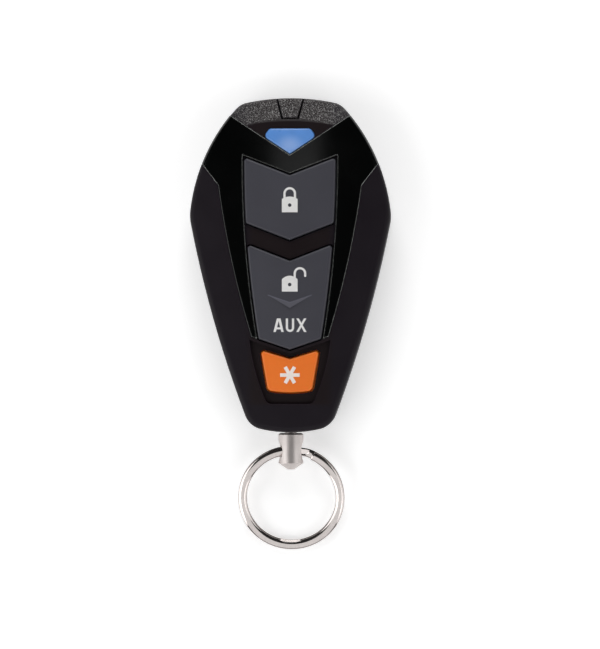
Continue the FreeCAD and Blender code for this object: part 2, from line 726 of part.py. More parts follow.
def cap_slits():
    """The two slits in the cap's slope and the one that joins their lower ends."""
    half = size("slit_wide") / 2
    low_x, low_y = size("slit_low_half"), size("slit_low")
    top_x, top_y = size("slit_top_half"), Y_TOP + 1
    outer_edge = symmetric([corner(top_x + half, top_y), corner(low_x + half, low_y - half)])
    inner_edge = symmetric([corner(top_x - half, top_y), corner(low_x - half, low_y + half)])
    sunk = -size("slit_deep")
    return prism(outer_edge.cut(inner_edge), size("seam_height"), TALL).cut(rounded_body(sunk))


def trunnion_height():
    """The height of the rocker's pins, in the middle of the flanges' thickness."""
    return level("flange_low") + size("flange_thick") / 2


def bearing_boxes(gap=0.0):
    """The low corner and the size of each block that holds a pin of the rocker, with a gap round it."""
    inner = ROCKER_HALF + GAP - gap
    wide = size("bearing_wide") + 2 * gap
    deep = size("bearing_deep") + 2 * gap
    low = trunnion_height() - size("trunnion_round") / 2 - size("fit_gap") - size("bearing_under") - gap
    tall = level("ceiling") + size("fit_gap") - low
    place = size("rocker_pivot") - deep / 2
    return [(Vector(x, place, low), (wide, deep, tall)) for x in (inner, -inner - wide)]


def rocker_pins(gap=0.0):
    """The bar of both the rocker's pins, with a gap round it."""
    half = ROCKER_HALF + size("trunnion_long") + gap
    start = Vector(-half, size("rocker_pivot"), trunnion_height())
    return Part.makeCylinder(size("trunnion_round") / 2 + gap, 2 * half, start, ACROSS)


def front_housing():
    """The front half: the crowned face with its openings, and the posts over the board."""
    seam = size("seam_height")
    ceiling = size("wing_ceiling")
    touch = size("touch_gap")
    fit = size("fit_gap")
    shell = rounded_body().common(prism(wider(BODY, 1), seam, TALL))
    shell = shell.cut(prism(INSIDE, seam - 1, ceiling)).cut(keypad_cavity())
    rebate = wider(BODY, fit - size("lip_inset"))
    shell = shell.cut(prism(rebate, seam - 1, seam + size("lip_tall") + size("lip_head")))
    shell = shell.fuse(swivel_block(seam, ceiling + touch)).cut(swivel_space())
    pegs = clamp_posts(level("board_top"), ceiling + touch, size("post_round"))
    pins = clamp_posts(level("board_low") + fit, level("board_top") + touch, size("pin_round"))
    shell = shell.multiFuse(pegs + pins)
    shell = shell.cut(bezel_space(size("bezel_gap")))
    shell = shell.cut(above_crown(BAR, -size("bar_drop")))
    shell = shell.cut(above_crown(recess_plan(), -size("recess_drop")))
    for plan in (LOCK, ROCKER, STAR):
        shell = shell.cut(prism(wider(plan, GAP), seam, TALL))
    shell = shell.cut(prism(wider(LENS, size("lens_gap")), seam, TALL))
    blocks = [Part.makeBox(*sides, place) for place, sides in bearing_boxes()]
    shell = shell.multiFuse(blocks).cut(rocker_pins(fit))
    return shell.cut(cap_slits()).removeSplitter()


# The buttons, the lens and the keypad

def button(plan, rise, flange):
    """A button or lens: its plan under the raised crown, on a flange that the face holds down."""
    top = prism(plan, level("flange_top") - size("fit_gap"), TALL).common(crown(rise))
    top = top.makeFillet(size("key_round"), rim_edges(top, level("flange_top")))
    collar = prism(wider(plan, flange), level("flange_low"), level("flange_top"))
    return top.fuse(collar).removeSplitter()


def face_top(x, y, rise):
    """The height of the crown, raised or lowered, over a place."""
    upright = Part.makeLine(Vector(x, y, 0), Vector(x, y, TALL))
    return upright.common(crown(rise)).BoundBox.ZMax


def chevron():
    """The rocker's chevron: two ramps that rise from its upper edges to its lower apex."""
    rise = size("key_rise")
    top, low, end = size("chevron_apex"), size("chevron_low"), size("chevron_end")
    apex = Vector(0, top, face_top(0, top, rise))
    peak = Vector(0, low, face_top(0, low, rise) + size("chevron_rise"))
    ramps = []
    for x in (-size("chevron_half"), size("chevron_half")):
        tip = Vector(x, end, face_top(x, end, rise))
        ramp = Part.Face(Part.makePolygon([apex, tip, peak, apex]))
        ramps.append(ramp.extrude(-size("flange_thick") * UP))
    return ramps


def rocker():
    """The rocker: unlock at one end and auxiliary at the other, on two pins."""
    solid = prism(ROCKER, level("flange_low"), TALL).common(crown(size("key_rise")))
    solid = solid.makeFillet(size("key_round"), rim_edges(solid, level("flange_top")))
    return solid.multiFuse([rocker_pins()] + chevron()).removeSplitter()


def lens():
    """The lens with its collar, and the light guide that reaches down to the LED."""
    solid = button(LENS, size("lens_rise"), size("flange_grip"))
    low = level("led_top") + size("clip_gap")
    start = Vector(0, size("lens_place"), low)
    stem = Part.makeCylinder(size("lens_stem_round") / 2, level("flange_top") - low, start)
    return solid.fuse(stem).removeSplitter()


def keypad():
    """The soft keypad: a sheet with a skirt that stands on the board, and four pips."""
    low = level("board_top")
    skirt = size("skirt_wide")
    solid = prism(KEYPAD, low, level("sheet_top"))
    solid = solid.cut(prism(wider(KEYPAD, -skirt), low, level("sheet_low")))
    pips = []
    for terms in SWITCHES.values():
        start = Vector(0, total(terms), level("pip_low"))
        pips.append(Part.makeCylinder(size("pip_round") / 2, size("pip_tall") + size("fit_gap"), start))
    solid = solid.multiFuse(pips)
    for start, (wide, deep, _) in bearing_boxes(size("fit_gap") + size("touch_gap")):
        shift = Vector(0 if start.x > 0 else -skirt, 0, low - 1 - start.z)
        solid = solid.cut(Part.makeBox(wide + skirt, deep, TALL, start + shift))
    return solid.removeSplitter()


# The circuit board and what stands on it

def circuit_board():
    """The board, short of the block at the ring end, with a hole for each locating pin."""
    low = level("board_low")
    thick = size("board_thick")
    gap = size("board_gap")
    solid = prism(wider(INSIDE, -gap), low, low + thick)
    half = size("swivel_block_half") + gap
    solid = solid.cut(Part.makeBox(2 * half, size("swivel_block_deep") + gap, TALL, Vector(-half, Y_END, 0)))
    hole = size("pin_round") + 2 * size("fit_gap")
    for tool in clamp_posts(low - thick, low + 2 * thick, hole):
        solid = solid.cut(tool)
    return solid


def tact_switch(name, terms):
    """A switch: a base with a well for its plunger, the plunger, and a steel cover, which it returns."""
    half = cell("switch_wide", "0.5")
    place = formula(terms)
    square = {
        "Length": cell("switch_wide"),
        "Width": cell("switch_wide"),
        "Placement__Base__x": f"-{half}",
        "Placement__Base__y": f"{place} - {half}",
    }
    middle = {"Placement__Base__y": place}
    bore = f"{cell('plunger_round', '0.5')} + {cell('fit_gap')}"
    board_top = level_formula("board_top")
    base_block = primitive(
        "Box", f"{name}_base_block", Height=f"{cell('switch_tall')} - {cell('cover_thick')}",
        Placement__Base__z=board_top, **square,
    )
    well = primitive(
        "Cylinder", f"{name}_well", Radius=bore, Height=cell("switch_tall"),
        Placement__Base__z=f"{board_top} + {cell('switch_floor')}", **middle,
    )
    name_node(joined("Cut", f"{name}_switch_base", base_block, well), f"{name}_switch_base")
    plate = primitive(
        "Box", f"{name}_cover_plate", Height=cell("cover_thick"),
        Placement__Base__z=level_formula("cover_low"), **square,
    )
    mouth = primitive(
        "Cylinder", f"{name}_cover_mouth", Radius=bore, Height=cell("switch_tall", "2"),
        Placement__Base__z=board_top, **middle,
    )
    low, top = level_formula("plunger_low"), level_formula("plunger_top")
    plunger = primitive(
        "Cylinder", f"{name}_plunger", Radius=cell("plunger_round", "0.5"), Height=f"{top} - ({low})",
        Placement__Base__z=low, **middle,
    )
    name_node(plunger, f"{name}_plunger")
    return joined("Cut", f"{name}_cover", plate, mouth)


def chip(long, wide, tall, x, y, z):
    """A box-shaped component, centred on x and y and standing on the height z."""
    return Part.makeBox(long, wide, tall, Vector(x - long / 2, y - wide / 2, z))


def microcontroller():
    """The chip on the back of the board: a moulded body on two rows of leads."""
    low = level("board_low")
    long, wide, tall = size("chip_long"), size("chip_wide"), size("chip_tall")
    place, pitch = size("chip_place"), size("lead_pitch")
    lead_wide, lead_thick, lead_long = size("lead_wide"), size("lead_thick"), size("lead_long")
    count = int(long / pitch) - 1
    leads = []
    for index in range(count):
        x = (index - (count - 1) / 2) * pitch
        for side in (-1, 1):
            foot = place + side * (wide + lead_long) / 2
            leads.append(chip(lead_wide, lead_long, lead_thick, x, foot, low - lead_thick))
            riser = place + side * (wide + lead_thick) / 2
            leads.append(chip(lead_wide, lead_thick, tall / 2, x, riser, low - tall / 2))
    return chip(long, wide, tall - lead_thick, 0, place, low - tall).multiFuse(leads).removeSplitter()


def chip_components():
    """The small resistors, capacitors and coils on both faces of the board."""
    tall = size("part_tall")
    sides = (size("part_long"), size("part_wide"), tall)
    top = [chip(*sides, x, y, level("board_top")) for x, y in CHIPS_OVER]
    low = [chip(*sides, x, y, level("board_low") - tall) for x, y in CHIPS_UNDER]
    return Part.Compound(top + low)


def antenna_loop():
    """A flat copper loop that follows the board's edge round the cap end."""
    top = level("board_top")
    plan = wider(INSIDE, -size("board_gap") - size("antenna_inset"))
    band = prism(plan.cut(wider(plan, -size("antenna_wide"))), top, top + size("antenna_thick"))
    return band.common(Part.makeBox(LENGTH, LENGTH, TALL, Vector(-LENGTH / 2, size("lens_side"), 0)))


def hanging_box(name):
    """A box-shaped component on the back of the board, with its sizes and place in the sheet."""
    tall = size(f"{name}_tall")
    sides = (size(f"{name}_long"), size(f"{name}_wide"), tall)
    return chip(*sides, size(f"{name}_side"), size(f"{name}_place"), level("board_low") - tall)


def negative_contact():
    """A bowed leaf between the board and the cell's lid."""
    half = size("contact_long") / 2
    wide = size("contact_wide")
    thick = size("contact_thick")
    top = level("board_low")
    low = level("lid_top")
    inner_half = half - 3 * thick
    outer = Part.Arc(Vector(-half, 0, top), Vector(0, 0, low), Vector(half, 0, top)).toShape()
    right = Part.makeLine(Vector(half, 0, top), Vector(inner_half, 0, top))
    inner = Part.Arc(Vector(inner_half, 0, top), Vector(0, 0, low + thick), Vector(-inner_half, 0, top))
    left = Part.makeLine(Vector(-inner_half, 0, top), Vector(-half, 0, top))
    leaf = Part.Face(Part.Wire([outer, right, inner.toShape(), left])).extrude(Vector(0, wide, 0))
    leaf.translate(Vector(0, size("cell_place") - wide / 2, 0))
    return leaf


def battery_clip():
    """A steel strap across the cell's back, with legs up to the board."""
    wide = size("clip_wide")
    thick = size("clip_thick")
    half = size("cell_round") / 2 + thick
    low = level("clip_low")
    tall = level("board_low") - low
    place = size("cell_place")
    strap = chip(2 * (half + thick), wide, thick, 0, place, low)
    legs = [chip(thick, wide, tall, side * (half + thick / 2), place, low) for side in (-1, 1)]
    return strap.multiFuse(legs).removeSplitter()


def coin_cell():
    """The cell: a can that faces the back, and a lid set in it on a gasket."""
    low = level_formula("cell_low")
    base = f"{low} + {cell('can_wall')}"
    can_tall = f"{cell('cell_thick')} - {cell('lid_proud')}"
    radius = cell("cell_round", "0.5")
    bore = f"{radius} - {cell('can_wall')}"
    lid = f"{bore} - {cell('gasket_wide')}"
    place = {"Placement__Base__y": cell("cell_place")}
    can = primitive("Cylinder", "can_block", Radius=radius, Height=can_tall, Placement__Base__z=low, **place)
    hollow = primitive("Cylinder", "can_bore", Radius=bore, Height=can_tall, Placement__Base__z=base, **place)
    name_node(joined("Cut", "cell_can", can, hollow), "cell_can")
    seal_tall = f"{can_tall} - {cell('can_wall')}"
    seal = primitive("Cylinder", "seal_block", Radius=bore, Height=seal_tall, Placement__Base__z=base, **place)
    opening = primitive("Cylinder", "seal_bore", Radius=lid, Height=can_tall, Placement__Base__z=low, **place)
    name_node(joined("Cut", "cell_gasket", seal, opening), "cell_gasket")
    lid_tall = f"{cell('cell_thick')} - {cell('can_wall')}"
    cap = primitive("Cylinder", "cell_lid", Radius=lid, Height=lid_tall, Placement__Base__z=base, **place)
    name_node(cap, "cell_lid")


# The swivel post and the split ring

def closed_profile(body, name, points):
    """A sketch of straight edges on a body's XY plane, with each corner bound to two sums of sizes."""
    sketch = body.newObject("Sketcher::SketchObject", name)
    plane = [part for part in body.Origin.OriginFeatures if part.Role == "XY_Plane"][0]
    sketch.AttachmentSupport = [(plane, "")]
    sketch.MapMode = "FlatFace"
    places = [Vector(total(x), total(y), 0) for x, y in points]
    for start, end in zip(places, places[1:] + places[:1]):
        sketch.addGeometry(Part.LineSegment(start, end))
    for index in range(len(points)):
        following = (index + 1) % len(points)
        sketch.addConstraint(Sketcher.Constraint("Coincident", index, 2, following, 1))
    for index, (terms, place) in enumerate(zip(points, places)):
        for kind, sums, value in zip(("DistanceX", "DistanceY"), terms, place):
            number = sketch.addConstraint(Sketcher.Constraint(kind, -1, 1, index, 1, value))
            sketch.setExpression(f"Constraints[{number}]", formula(sums))
    return sketch


def post_blank():
    """The post turned about Y: a flange in the housing, a neck, and a barrel with a conical tip."""
    groove = ("-body_length/2", "end_wall", "groove_wide/2")
    flange_in = groove + ("swivel_flange_thick/2",)
    flange_out = groove + ("-swivel_flange_thick/2",)
    barrel_in = ("-body_length/2", "-barrel_gap")
    barrel_out = barrel_in + ("-barrel_long",)
    tip = barrel_out + ("-tip_long",)
    flange = ("swivel_flange_round/2",)
    neck = ("neck_round/2",)
    barrel = ("barrel_round/2",)
    profile = (
        ((), flange_in),
        (flange, flange_in),
        (flange, flange_out),
        (neck, flange_out),
        (neck, barrel_in),
        (barrel + ("-barrel_edge",), barrel_in),
        (barrel, barrel_in + ("-barrel_edge",)),
        (barrel, barrel_out),
        (("tip_half",), tip),
        ((), tip),
    )
    body = doc.addObject("PartDesign::Body", "post_blank")
    sketch = closed_profile(body, "post_profile", profile)
    turned = body.newObject("PartDesign::Revolution", "post_turned")
    turned.Profile = sketch
    turned.ReferenceAxis = (sketch, ["V_Axis"])
    turned.Angle = 360
    return bind(body, Placement__Base__z=cell("seam_height"))


def eye_hole():
    """The cross hole through the barrel, flared at both mouths and turned about the post."""
    radius = size("eye_round") / 2
    half = size("barrel_round") / 2
    flare = math.sqrt(half ** 2 - radius ** 2) - size("eye_flare")
    hole = Part.makeCylinder(radius, 4 * half, -2 * half * ACROSS, ACROSS)
    for side in (-1, 1):
        hole = hole.fuse(Part.makeCone(radius, radius + half, half, side * flare * ACROSS, side * ACROSS))
    hole.rotate(Vector(0, 0, 0), ALONG, size("eye_turn"))
    hole.translate(Vector(0, Y_END - size("eye_place"), size("seam_height")))
    return hole


RING_RADIUS = (size("ring_round") - size("wire_wide")) / 2
TURN_OFFSET = (size("wire_thick") + size("turn_gap")) / 2
JOG_START = size("jog_start")
JOG_END = size("jog_end")
TURN = 360 - (JOG_END + size("jog_gap") - JOG_START)


def ring_section(angle, height):
    """The flattened wire in section, at an angle clockwise from the hole and at a height."""
    wide, thick = size("wire_wide"), size("wire_thick")
    bar = Part.makeBox(wide, 1, thick, Vector(-wide / 2, 0, -thick / 2))
    bar = bar.makeFillet(size("wire_round"), [edge for edge in bar.Edges if edge.BoundBox.YLength > 0.5])
    face = min(bar.Faces, key=lambda side: side.CenterOfMass.y)
    face.translate(Vector(RING_RADIUS, 0, height))
    face.rotate(Vector(0, 0, 0), UP, 90 - angle)
    return face


def jog_height(angle):
    """The wire's height at an angle, from the front turn through the jog to the back turn."""
    share = min(max((angle - JOG_START) / (JOG_END - JOG_START), 0.0), 1.0)
    return TURN_OFFSET * (1 - 2 * (3 * share ** 2 - 2 * share ** 3))


def split_ring():
    """One wire of two turns: the front turn, the jog beside the post, and the back turn."""
    front = ring_section(JOG_START, TURN_OFFSET).revolve(Vector(0, 0, 0), UP, TURN)
    back = ring_section(JOG_END, -TURN_OFFSET).revolve(Vector(0, 0, 0), UP, -TURN)
    steps = 8
    angles = [JOG_START + (JOG_END - JOG_START) * step / steps for step in range(steps + 1)]
    jog = Part.makeLoft([ring_section(angle, jog_height(angle)).OuterWire for angle in angles], True)
    return front.multiFuse([jog, back]).removeSplitter()


def ring_turn_gap():
    """The least gap between the ring's turns, measured on points along the wire's middle line."""
    count = 720
    first = JOG_START - TURN
    span = JOG_END + TURN - first
    points = []
    for step in range(count + 1):
        angle = first + span * step / count
        turned = math.radians(angle)
        place = Vector(RING_RADIUS * math.sin(turned), RING_RADIUS * math.cos(turned), jog_height(angle))
        points.append((angle, place))
    least = size("ring_round")
    for angle, place in points:
        for other, other_place in points:
            across = math.hypot(place.x - other_place.x, place.y - other_place.y)
            rise = max(abs(place.z - other_place.z) - size("wire_thick"), 0.0)
            if other > angle + 180:
                least = min(least, math.hypot(across, rise))
    return least


def ring_tilt():
    """The ring's tilt about its axis in the hole, at which its far end lies on the ground."""
    reach = 2 * RING_RADIUS + size("wire_wide") / 2
    half_thick = TURN_OFFSET + size("wire_thick") / 2
    height = size("seam_height") - size("ring_clear")
    return math.degrees(math.asin(height / math.hypot(reach, half_thick)) - math.atan2(half_thick, reach))


# The sub-parts

feature("rear_housing", rear_housing())
feature("front_housing", front_housing())
feature("bezel", bezel())
feature("indicator_lens", lens())
feature("lock_button", button(LOCK, size("key_rise"), FLANGE_REACH))
feature("unlock_aux_rocker", rocker())
feature("star_button", button(STAR, size("star_rise"), FLANGE_REACH))
feature("keypad", keypad())
feature("circuit_board", circuit_board())
covers = [tact_switch(name, terms) for name, terms in SWITCHES.items()]
name_node(fused("switch_covers", covers), "switch_covers")
coin_cell()
feature("battery_clip", battery_clip())
feature("negative_contact", negative_contact())
feature("microcontroller", microcontroller())
feature("chip_components", chip_components())
feature("antenna_loop", antenna_loop())
feature("saw_resonator", hanging_box("saw"))
feature("crystal", hanging_box("crystal"))
led_sides = (size("led_long"), size("led_wide"), size("led_tall"))
feature("indicator_led", chip(*led_sides, 0, size("lens_place"), level("board_top")))

eye = doc.addObject("Part::Feature", "post_eye")
eye.Shape = eye_hole()
name_node(joined("Cut", "swivel_post", post_blank(), eye), "swivel_post")
ring = feature("split_ring", split_ring())
ring_axis = Vector(0, Y_END - size("eye_place") + size("ring_play"), size("seam_height"))
tilt = Rotation(ACROSS, ring_tilt())
ring.Placement = FreeCAD.Placement(ring_axis - tilt.multVec(RING_RADIUS * ALONG), tilt)

doc.recompute()
print("least gap between the ring's turns", round(ring_turn_gap(), 3), "mm")
print("ring tilt", round(ring_tilt(), 2), "degrees, axis at", [round(part, 3) for part in ring_axis])
print("rocker's axis", round(trunnion_height(), 3), "mm up, pins at half width", round(ROCKER_HALF, 3))
for item in doc.Objects:
    if any(flag in item.State for flag in ("Invalid", "Error")):
        raise RuntimeError(f"{item.Label} failed: {item.State}")
for piece in NODES:
    if piece.Shape.isNull() or not piece.Shape.isValid():
        raise RuntimeError(f"{piece.Label} has no valid shape")
os.makedirs("parts", exist_ok=True)
for piece in NODES:
    piece.Shape.exportStep(f"parts/{piece.Label}.step")
print(len(NODES), "sub-parts")
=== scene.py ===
import json
import math
from functools import partial

import bpy
import numpy as np
from bpy.props import FloatProperty, FloatVectorProperty, PointerProperty
from mathutils import Matrix, Vector


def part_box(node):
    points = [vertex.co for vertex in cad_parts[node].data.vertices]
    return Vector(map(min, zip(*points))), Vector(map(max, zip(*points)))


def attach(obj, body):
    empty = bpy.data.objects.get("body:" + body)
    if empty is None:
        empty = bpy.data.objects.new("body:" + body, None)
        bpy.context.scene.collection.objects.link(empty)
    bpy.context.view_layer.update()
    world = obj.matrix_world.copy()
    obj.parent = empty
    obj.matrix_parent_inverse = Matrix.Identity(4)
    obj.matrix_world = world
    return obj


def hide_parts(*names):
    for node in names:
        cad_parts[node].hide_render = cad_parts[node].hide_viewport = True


bl_info = {
    "name": "Car Alarm Remote",
    "version": (1, 0, 0),
    "blender": (4, 5, 0),
    "location": "View3D > Sidebar > Remote",
    "description": "Prints the key marks, winds the split ring and finishes a car alarm remote",
    "category": "Object",
}

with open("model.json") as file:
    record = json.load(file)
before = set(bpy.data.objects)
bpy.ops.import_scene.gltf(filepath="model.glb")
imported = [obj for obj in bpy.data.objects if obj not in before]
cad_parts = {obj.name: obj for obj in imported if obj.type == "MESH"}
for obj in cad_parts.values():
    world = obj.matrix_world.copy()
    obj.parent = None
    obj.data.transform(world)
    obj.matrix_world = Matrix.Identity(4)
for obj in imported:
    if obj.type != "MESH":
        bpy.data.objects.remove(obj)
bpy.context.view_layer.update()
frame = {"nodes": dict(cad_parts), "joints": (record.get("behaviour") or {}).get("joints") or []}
JOINTS = {joint["name"]: joint for joint in frame["joints"]}
MM = 0.001
SOFT_EDGE = 0.02 * MM
CASE_GRAIN = 9000.0
# The attribute of the ring's wire that is 1 on its narrow edges and 0 between them.
WIRE_SIDE = "wire_side"
# The middle of the post's cross hole and its turn from level, and the place of the lamp.
EYE_PLACE, EYE_TURN = (0.0, -34.8 * MM, 5.2 * MM), math.radians(8)
LAMP_PLACE = (0.0, 22.3 * MM, 0.0)

# Places of the looks in millimetres. A pair says over which lengths a look comes in or goes out.
EYE_SHADE = (1.49, 1.6)
LAMP_GLOW = (0.2, 2.4)
MIDDLE_START, MIDDLE_SIDE = (-26.4, -25.6), (6.5, 8.5)
CAP_START, CAP_CIRCLE, SPARKLE_SIDE = (20, 24), (26.9, 27.6), (6, 14)
SLIT_START, SLIT_SIDE = (27.1, 27.2), (0.17, 0.22)
SLIT_ACROSS, SLIT_ALONG, SLIT_LEAN = 1.5, 27.3, 0.255
CHEVRON_HALF, CHEVRON_END, CHEVRON_APEX, CHEVRON_LOW = 4.1, -5.6, -7, -8
CHEVRON_SOFT, CHEVRON_HIGHLIGHT = 0.06, (0.05, 0.16)
EPOXY_HALF = 2.66


# Properties

def length(name, description, millimetres):
    """A size in metres, given in millimetres."""
    return FloatProperty(
        name=name, description=description, default=millimetres * MM, unit="LENGTH", precision=5,
    )


def colour(name, description, value):
    """A linear colour of three parts."""
    return FloatVectorProperty(
        name=name, description=description, default=value, subtype="COLOR", size=3, min=0, max=1,
    )


def angle(name, description, degrees):
    """An angle in radians, given in degrees."""
    return FloatProperty(
        name=name, description=description, default=math.radians(degrees), unit="ROTATION",
    )


def factor(name, description, value):
    """A plain number."""
    return FloatProperty(name=name, description=description, default=value, precision=3)


class RemoteFaceSettings(bpy.types.PropertyGroup):
    """The crowned face that the keys follow."""

    foot_height: length("Foot Height", "Height of the face at the ring end", 10.7)
    crown_height: length("Crown Height", "Height of the face where it is highest", 12.2)
    crown_place: length("Crown Place", "Distance of the highest place from the middle", 3)
    cap_height: length("Cap Height", "Height of the face at the cap", 11.1)
    half_length: length("Half Length", "Half the length of the body", 31.2)
    across: length("Crown Across", "Radius of the crown across the body", 90)
    key_rise: length("Key Rise", "Height of the grey keys over the face", 0.3)
    star_rise: length("Star Rise", "Height of the orange key over the face", 0.05)


class RemotePrintSettings(bpy.types.PropertyGroup):
    """The marks printed on the keys."""

    film: length("Film", "Thickness of the print over a key", 0.02)
    padlock_half: length("Padlock Half Width", "Half the width of a padlock's body", 1.46)
    keyhole: length("Keyhole", "Radius of a padlock's keyhole", 0.33)
    shackle_radius: length("Shackle Radius", "Radius of a shackle's middle line", 0.97)
    shackle_stroke: length("Shackle Stroke", "Width of a shackle", 0.41)
    letter_stroke: length("Letter Stroke", "Width of the letters' strokes", 0.41)
    star_stroke: length("Star Stroke", "Width of the star's bars", 0.66)
    ink: colour("Ink", "Colour of the print on the grey keys", (0.82, 0.81, 0.8))
    star_ink: colour("Star Ink", "Colour of the print on the orange key", (0.95, 0.86, 0.81))


class RemoteRingSettings(bpy.types.PropertyGroup):
    """The split ring of one flattened wire in two turns."""

    outside: length("Outside", "Outer diameter of the ring", 20)
    wire_wide: length("Wire Width", "Width of the wire", 1.65)
    wire_thick: length("Wire Thickness", "Thickness of the wire", 0.69)
    turn_gap: length("Turn Gap", "Gap between the two turns", 0.03)
    tilt: angle("Tilt", "Tilt at which the ring's far end lies on the ground", 13.54)
    jog_start: angle("Jog Start", "Where the wire leaves the front turn, past the post", 7)
    jog_end: angle("Jog End", "Where the wire reaches the back turn", 23)
    end_gap: angle("End Gap", "From the jog to a cut end", 2.3)


class RemoteFinishSettings(bpy.types.PropertyGroup):
    """The colours of the pieces that show."""

    case: colour("Case", "Matt charcoal of the two housings", (0.0076, 0.005, 0.0082))
    # Painted shade between and under the keys, warmed as a painted reflection of the orange key.
    case_middle_shade: colour(
        "Case Middle Shade", "Warm black of the case between and under the keys", (0.0085, 0.0042, 0.0045),
    )
    # Colour of the painted sparkle highlights on the peaks of the cap's grain.
    cap_sparkle: colour("Cap Sparkle", "Light flecks in the grain of the cap", (0.37, 0.36, 0.355))
    bezel: colour("Bezel", "Polished black of the bezel", (0.0002, 0.0004, 0.0004))
    key: colour("Key", "Satin grey of the lock key and the rocker", (0.0415, 0.041, 0.053))
    star: colour("Star Key", "Satin orange of the star key", (0.9, 0.195, 0.013))
    lens: colour("Lens", "Blue of the indicator lens", (0.1, 0.275, 0.68))
    # Colour of the painted glow in the middle of the lens.
    lens_glow: colour("Lens Glow", "Pale middle of the lens over its lamp", (0.26, 0.42, 0.78))
    nickel: colour("Nickel", "Plated nickel of the post and the ring", (0.66, 0.61, 0.59))


class RemoteStageSettings(bpy.types.PropertyGroup):
    """The floor, the lamps and the camera."""

    floor_drop: length("Floor Drop", "How far the floor lies under the back", 0.05)
    distance: length("Camera Distance", "From the camera to the point it looks at", 800)
    lean: angle("Camera Lean", "Lean of the camera to the right of straight down", 1.7)
    lens: FloatProperty(
        name="Camera Lens", description="Focal length of the camera in millimetres", default=237.6,
    )
    left_power: factor("Left Power", "Watts of the panel on the left", 1.85)
    right_power: factor("Right Power", "Watts of the panel on the right", 1.2)
    top_power: factor("Top Power", "Watts of the panel behind the cap", 1.6)
    foot_power: factor("Foot Power", "Watts of the panel at the ring end", 0.9)
    over_power: factor("Over Power", "Watts of the small panel beside the camera", 0.034)
    sky: factor("Sky", "Strength of the even light all round", 0.03)


# Surfaces

def face_height(face, x, y, rise):
    """Height of a crowned face in millimetres.

    The ridge over Y is the circle through the foot, the crown and the cap: its centre lies where the
    bisectors of two chords meet. The face is that ridge turned about a line far below it, along Y.
    """
    marks = np.array([
        (-face.half_length, face.foot_height),
        (face.crown_place, face.crown_height),
        (face.half_length, face.cap_height),
    ]) / MM
    chords = marks[1:] - marks[0]
    middle = np.linalg.solve(2 * chords, (marks[1:] ** 2).sum(1) - (marks[0] ** 2).sum())
    radius = np.linalg.norm(marks[0] - middle)
    ridge = middle[1] + np.sqrt(radius ** 2 - (y - middle[0]) ** 2)
    axis = (face.crown_height - face.across) / MM
    return axis + np.sqrt((ridge - axis) ** 2 - x ** 2) + rise / MM


def ringed(rows, columns):
    """Numbers of a grid of points, in which each row comes back to its first point."""
    index = np.arange(rows * columns).reshape(rows, columns)
    return np.hstack([index, index[:, :1]])


def quads(index):
    """Faces between the neighbouring rows and columns of a grid of point numbers."""
    corners = [index[:-1, :-1], index[1:, :-1], index[1:, 1:], index[:-1, 1:]]
    return np.stack(corners, axis=-1).reshape(-1, 4).tolist()


def carried_faces(rows, columns, closed):
    """Faces of a closed profile carried along a path, as index arrays.

    Each quad joins two neighbouring points of the profile on two neighbouring places of the path. A
    closed path joins its last place to its first; an open one is capped by its first and last profile.
    """
    index = ringed(rows, columns)
    faces = quads(np.vstack([index, index[:1]]) if closed else index)
    if not closed:
        faces.append(np.arange(columns).tolist())
        faces.append(np.arange(rows * columns - 1, (rows - 1) * columns - 1, -1).tolist())
    return faces


def new_piece(name, grids, material, crease=35.0):
    """One object from carried profiles, each a grid of points in millimetres and a closed flag."""
    points = np.concatenate([grid.reshape(-1, 3) for grid, _ in grids]) * MM
    faces = []
    start = 0
    for grid, closed in grids:
        rows, columns = grid.shape[:2]
        faces += [[start + corner for corner in face] for face in carried_faces(rows, columns, closed)]
        start += rows * columns
    mesh = bpy.data.meshes.new(name)
    mesh.from_pydata(points.tolist(), [], faces)
    mesh.shade_smooth()
    mesh.set_sharp_from_angle(angle=math.radians(crease))
    mesh.materials.append(material)
    piece = bpy.data.objects.new(name, mesh)
    bpy.context.scene.collection.objects.link(piece)
    return piece


# The low domed section of a stroke of print: its place across, and its height in films.
STROKE = np.array([(-1, -1), (1, -1), (1, 0.6), (0.9, 1), (0, 1.04), (-0.9, 1), (-1, 0.6)])


def stroke(surface, path, half, film, across=None):
    """A stroke of print: the section STROKE carried along a path that lies on a crowned face.

    A point is the path's place, plus the sideways direction times half the width times the section's
    place; its height is the face's height there plus the film times the section's height. Sideways is
    square to the path unless it is given.
    """
    if across is None:
        run = np.gradient(path, axis=0)
        run /= np.linalg.norm(run, axis=1)[:, None]
        side = np.stack([run[:, 1], -run[:, 0]], axis=1)
    else:
        side = np.broadcast_to(np.array(across, float), path.shape)
    half = np.broadcast_to(half, len(path))
    plan = path[:, None] + side[:, None] * half[:, None, None] * STROKE[None, :, :1]
    height = surface(plan[..., 0], plan[..., 1]) + film * STROKE[None, :, 1]
    return np.concatenate([plan, height[..., None]], axis=-1), False


def bar(surface, start, end, half, film, across=None, steps=24):
    """A straight stroke between two places."""
    share = np.linspace(0, 1, steps)[:, None]
    return stroke(surface, (1 - share) * np.array(start) + share * np.array(end), half, film, across)


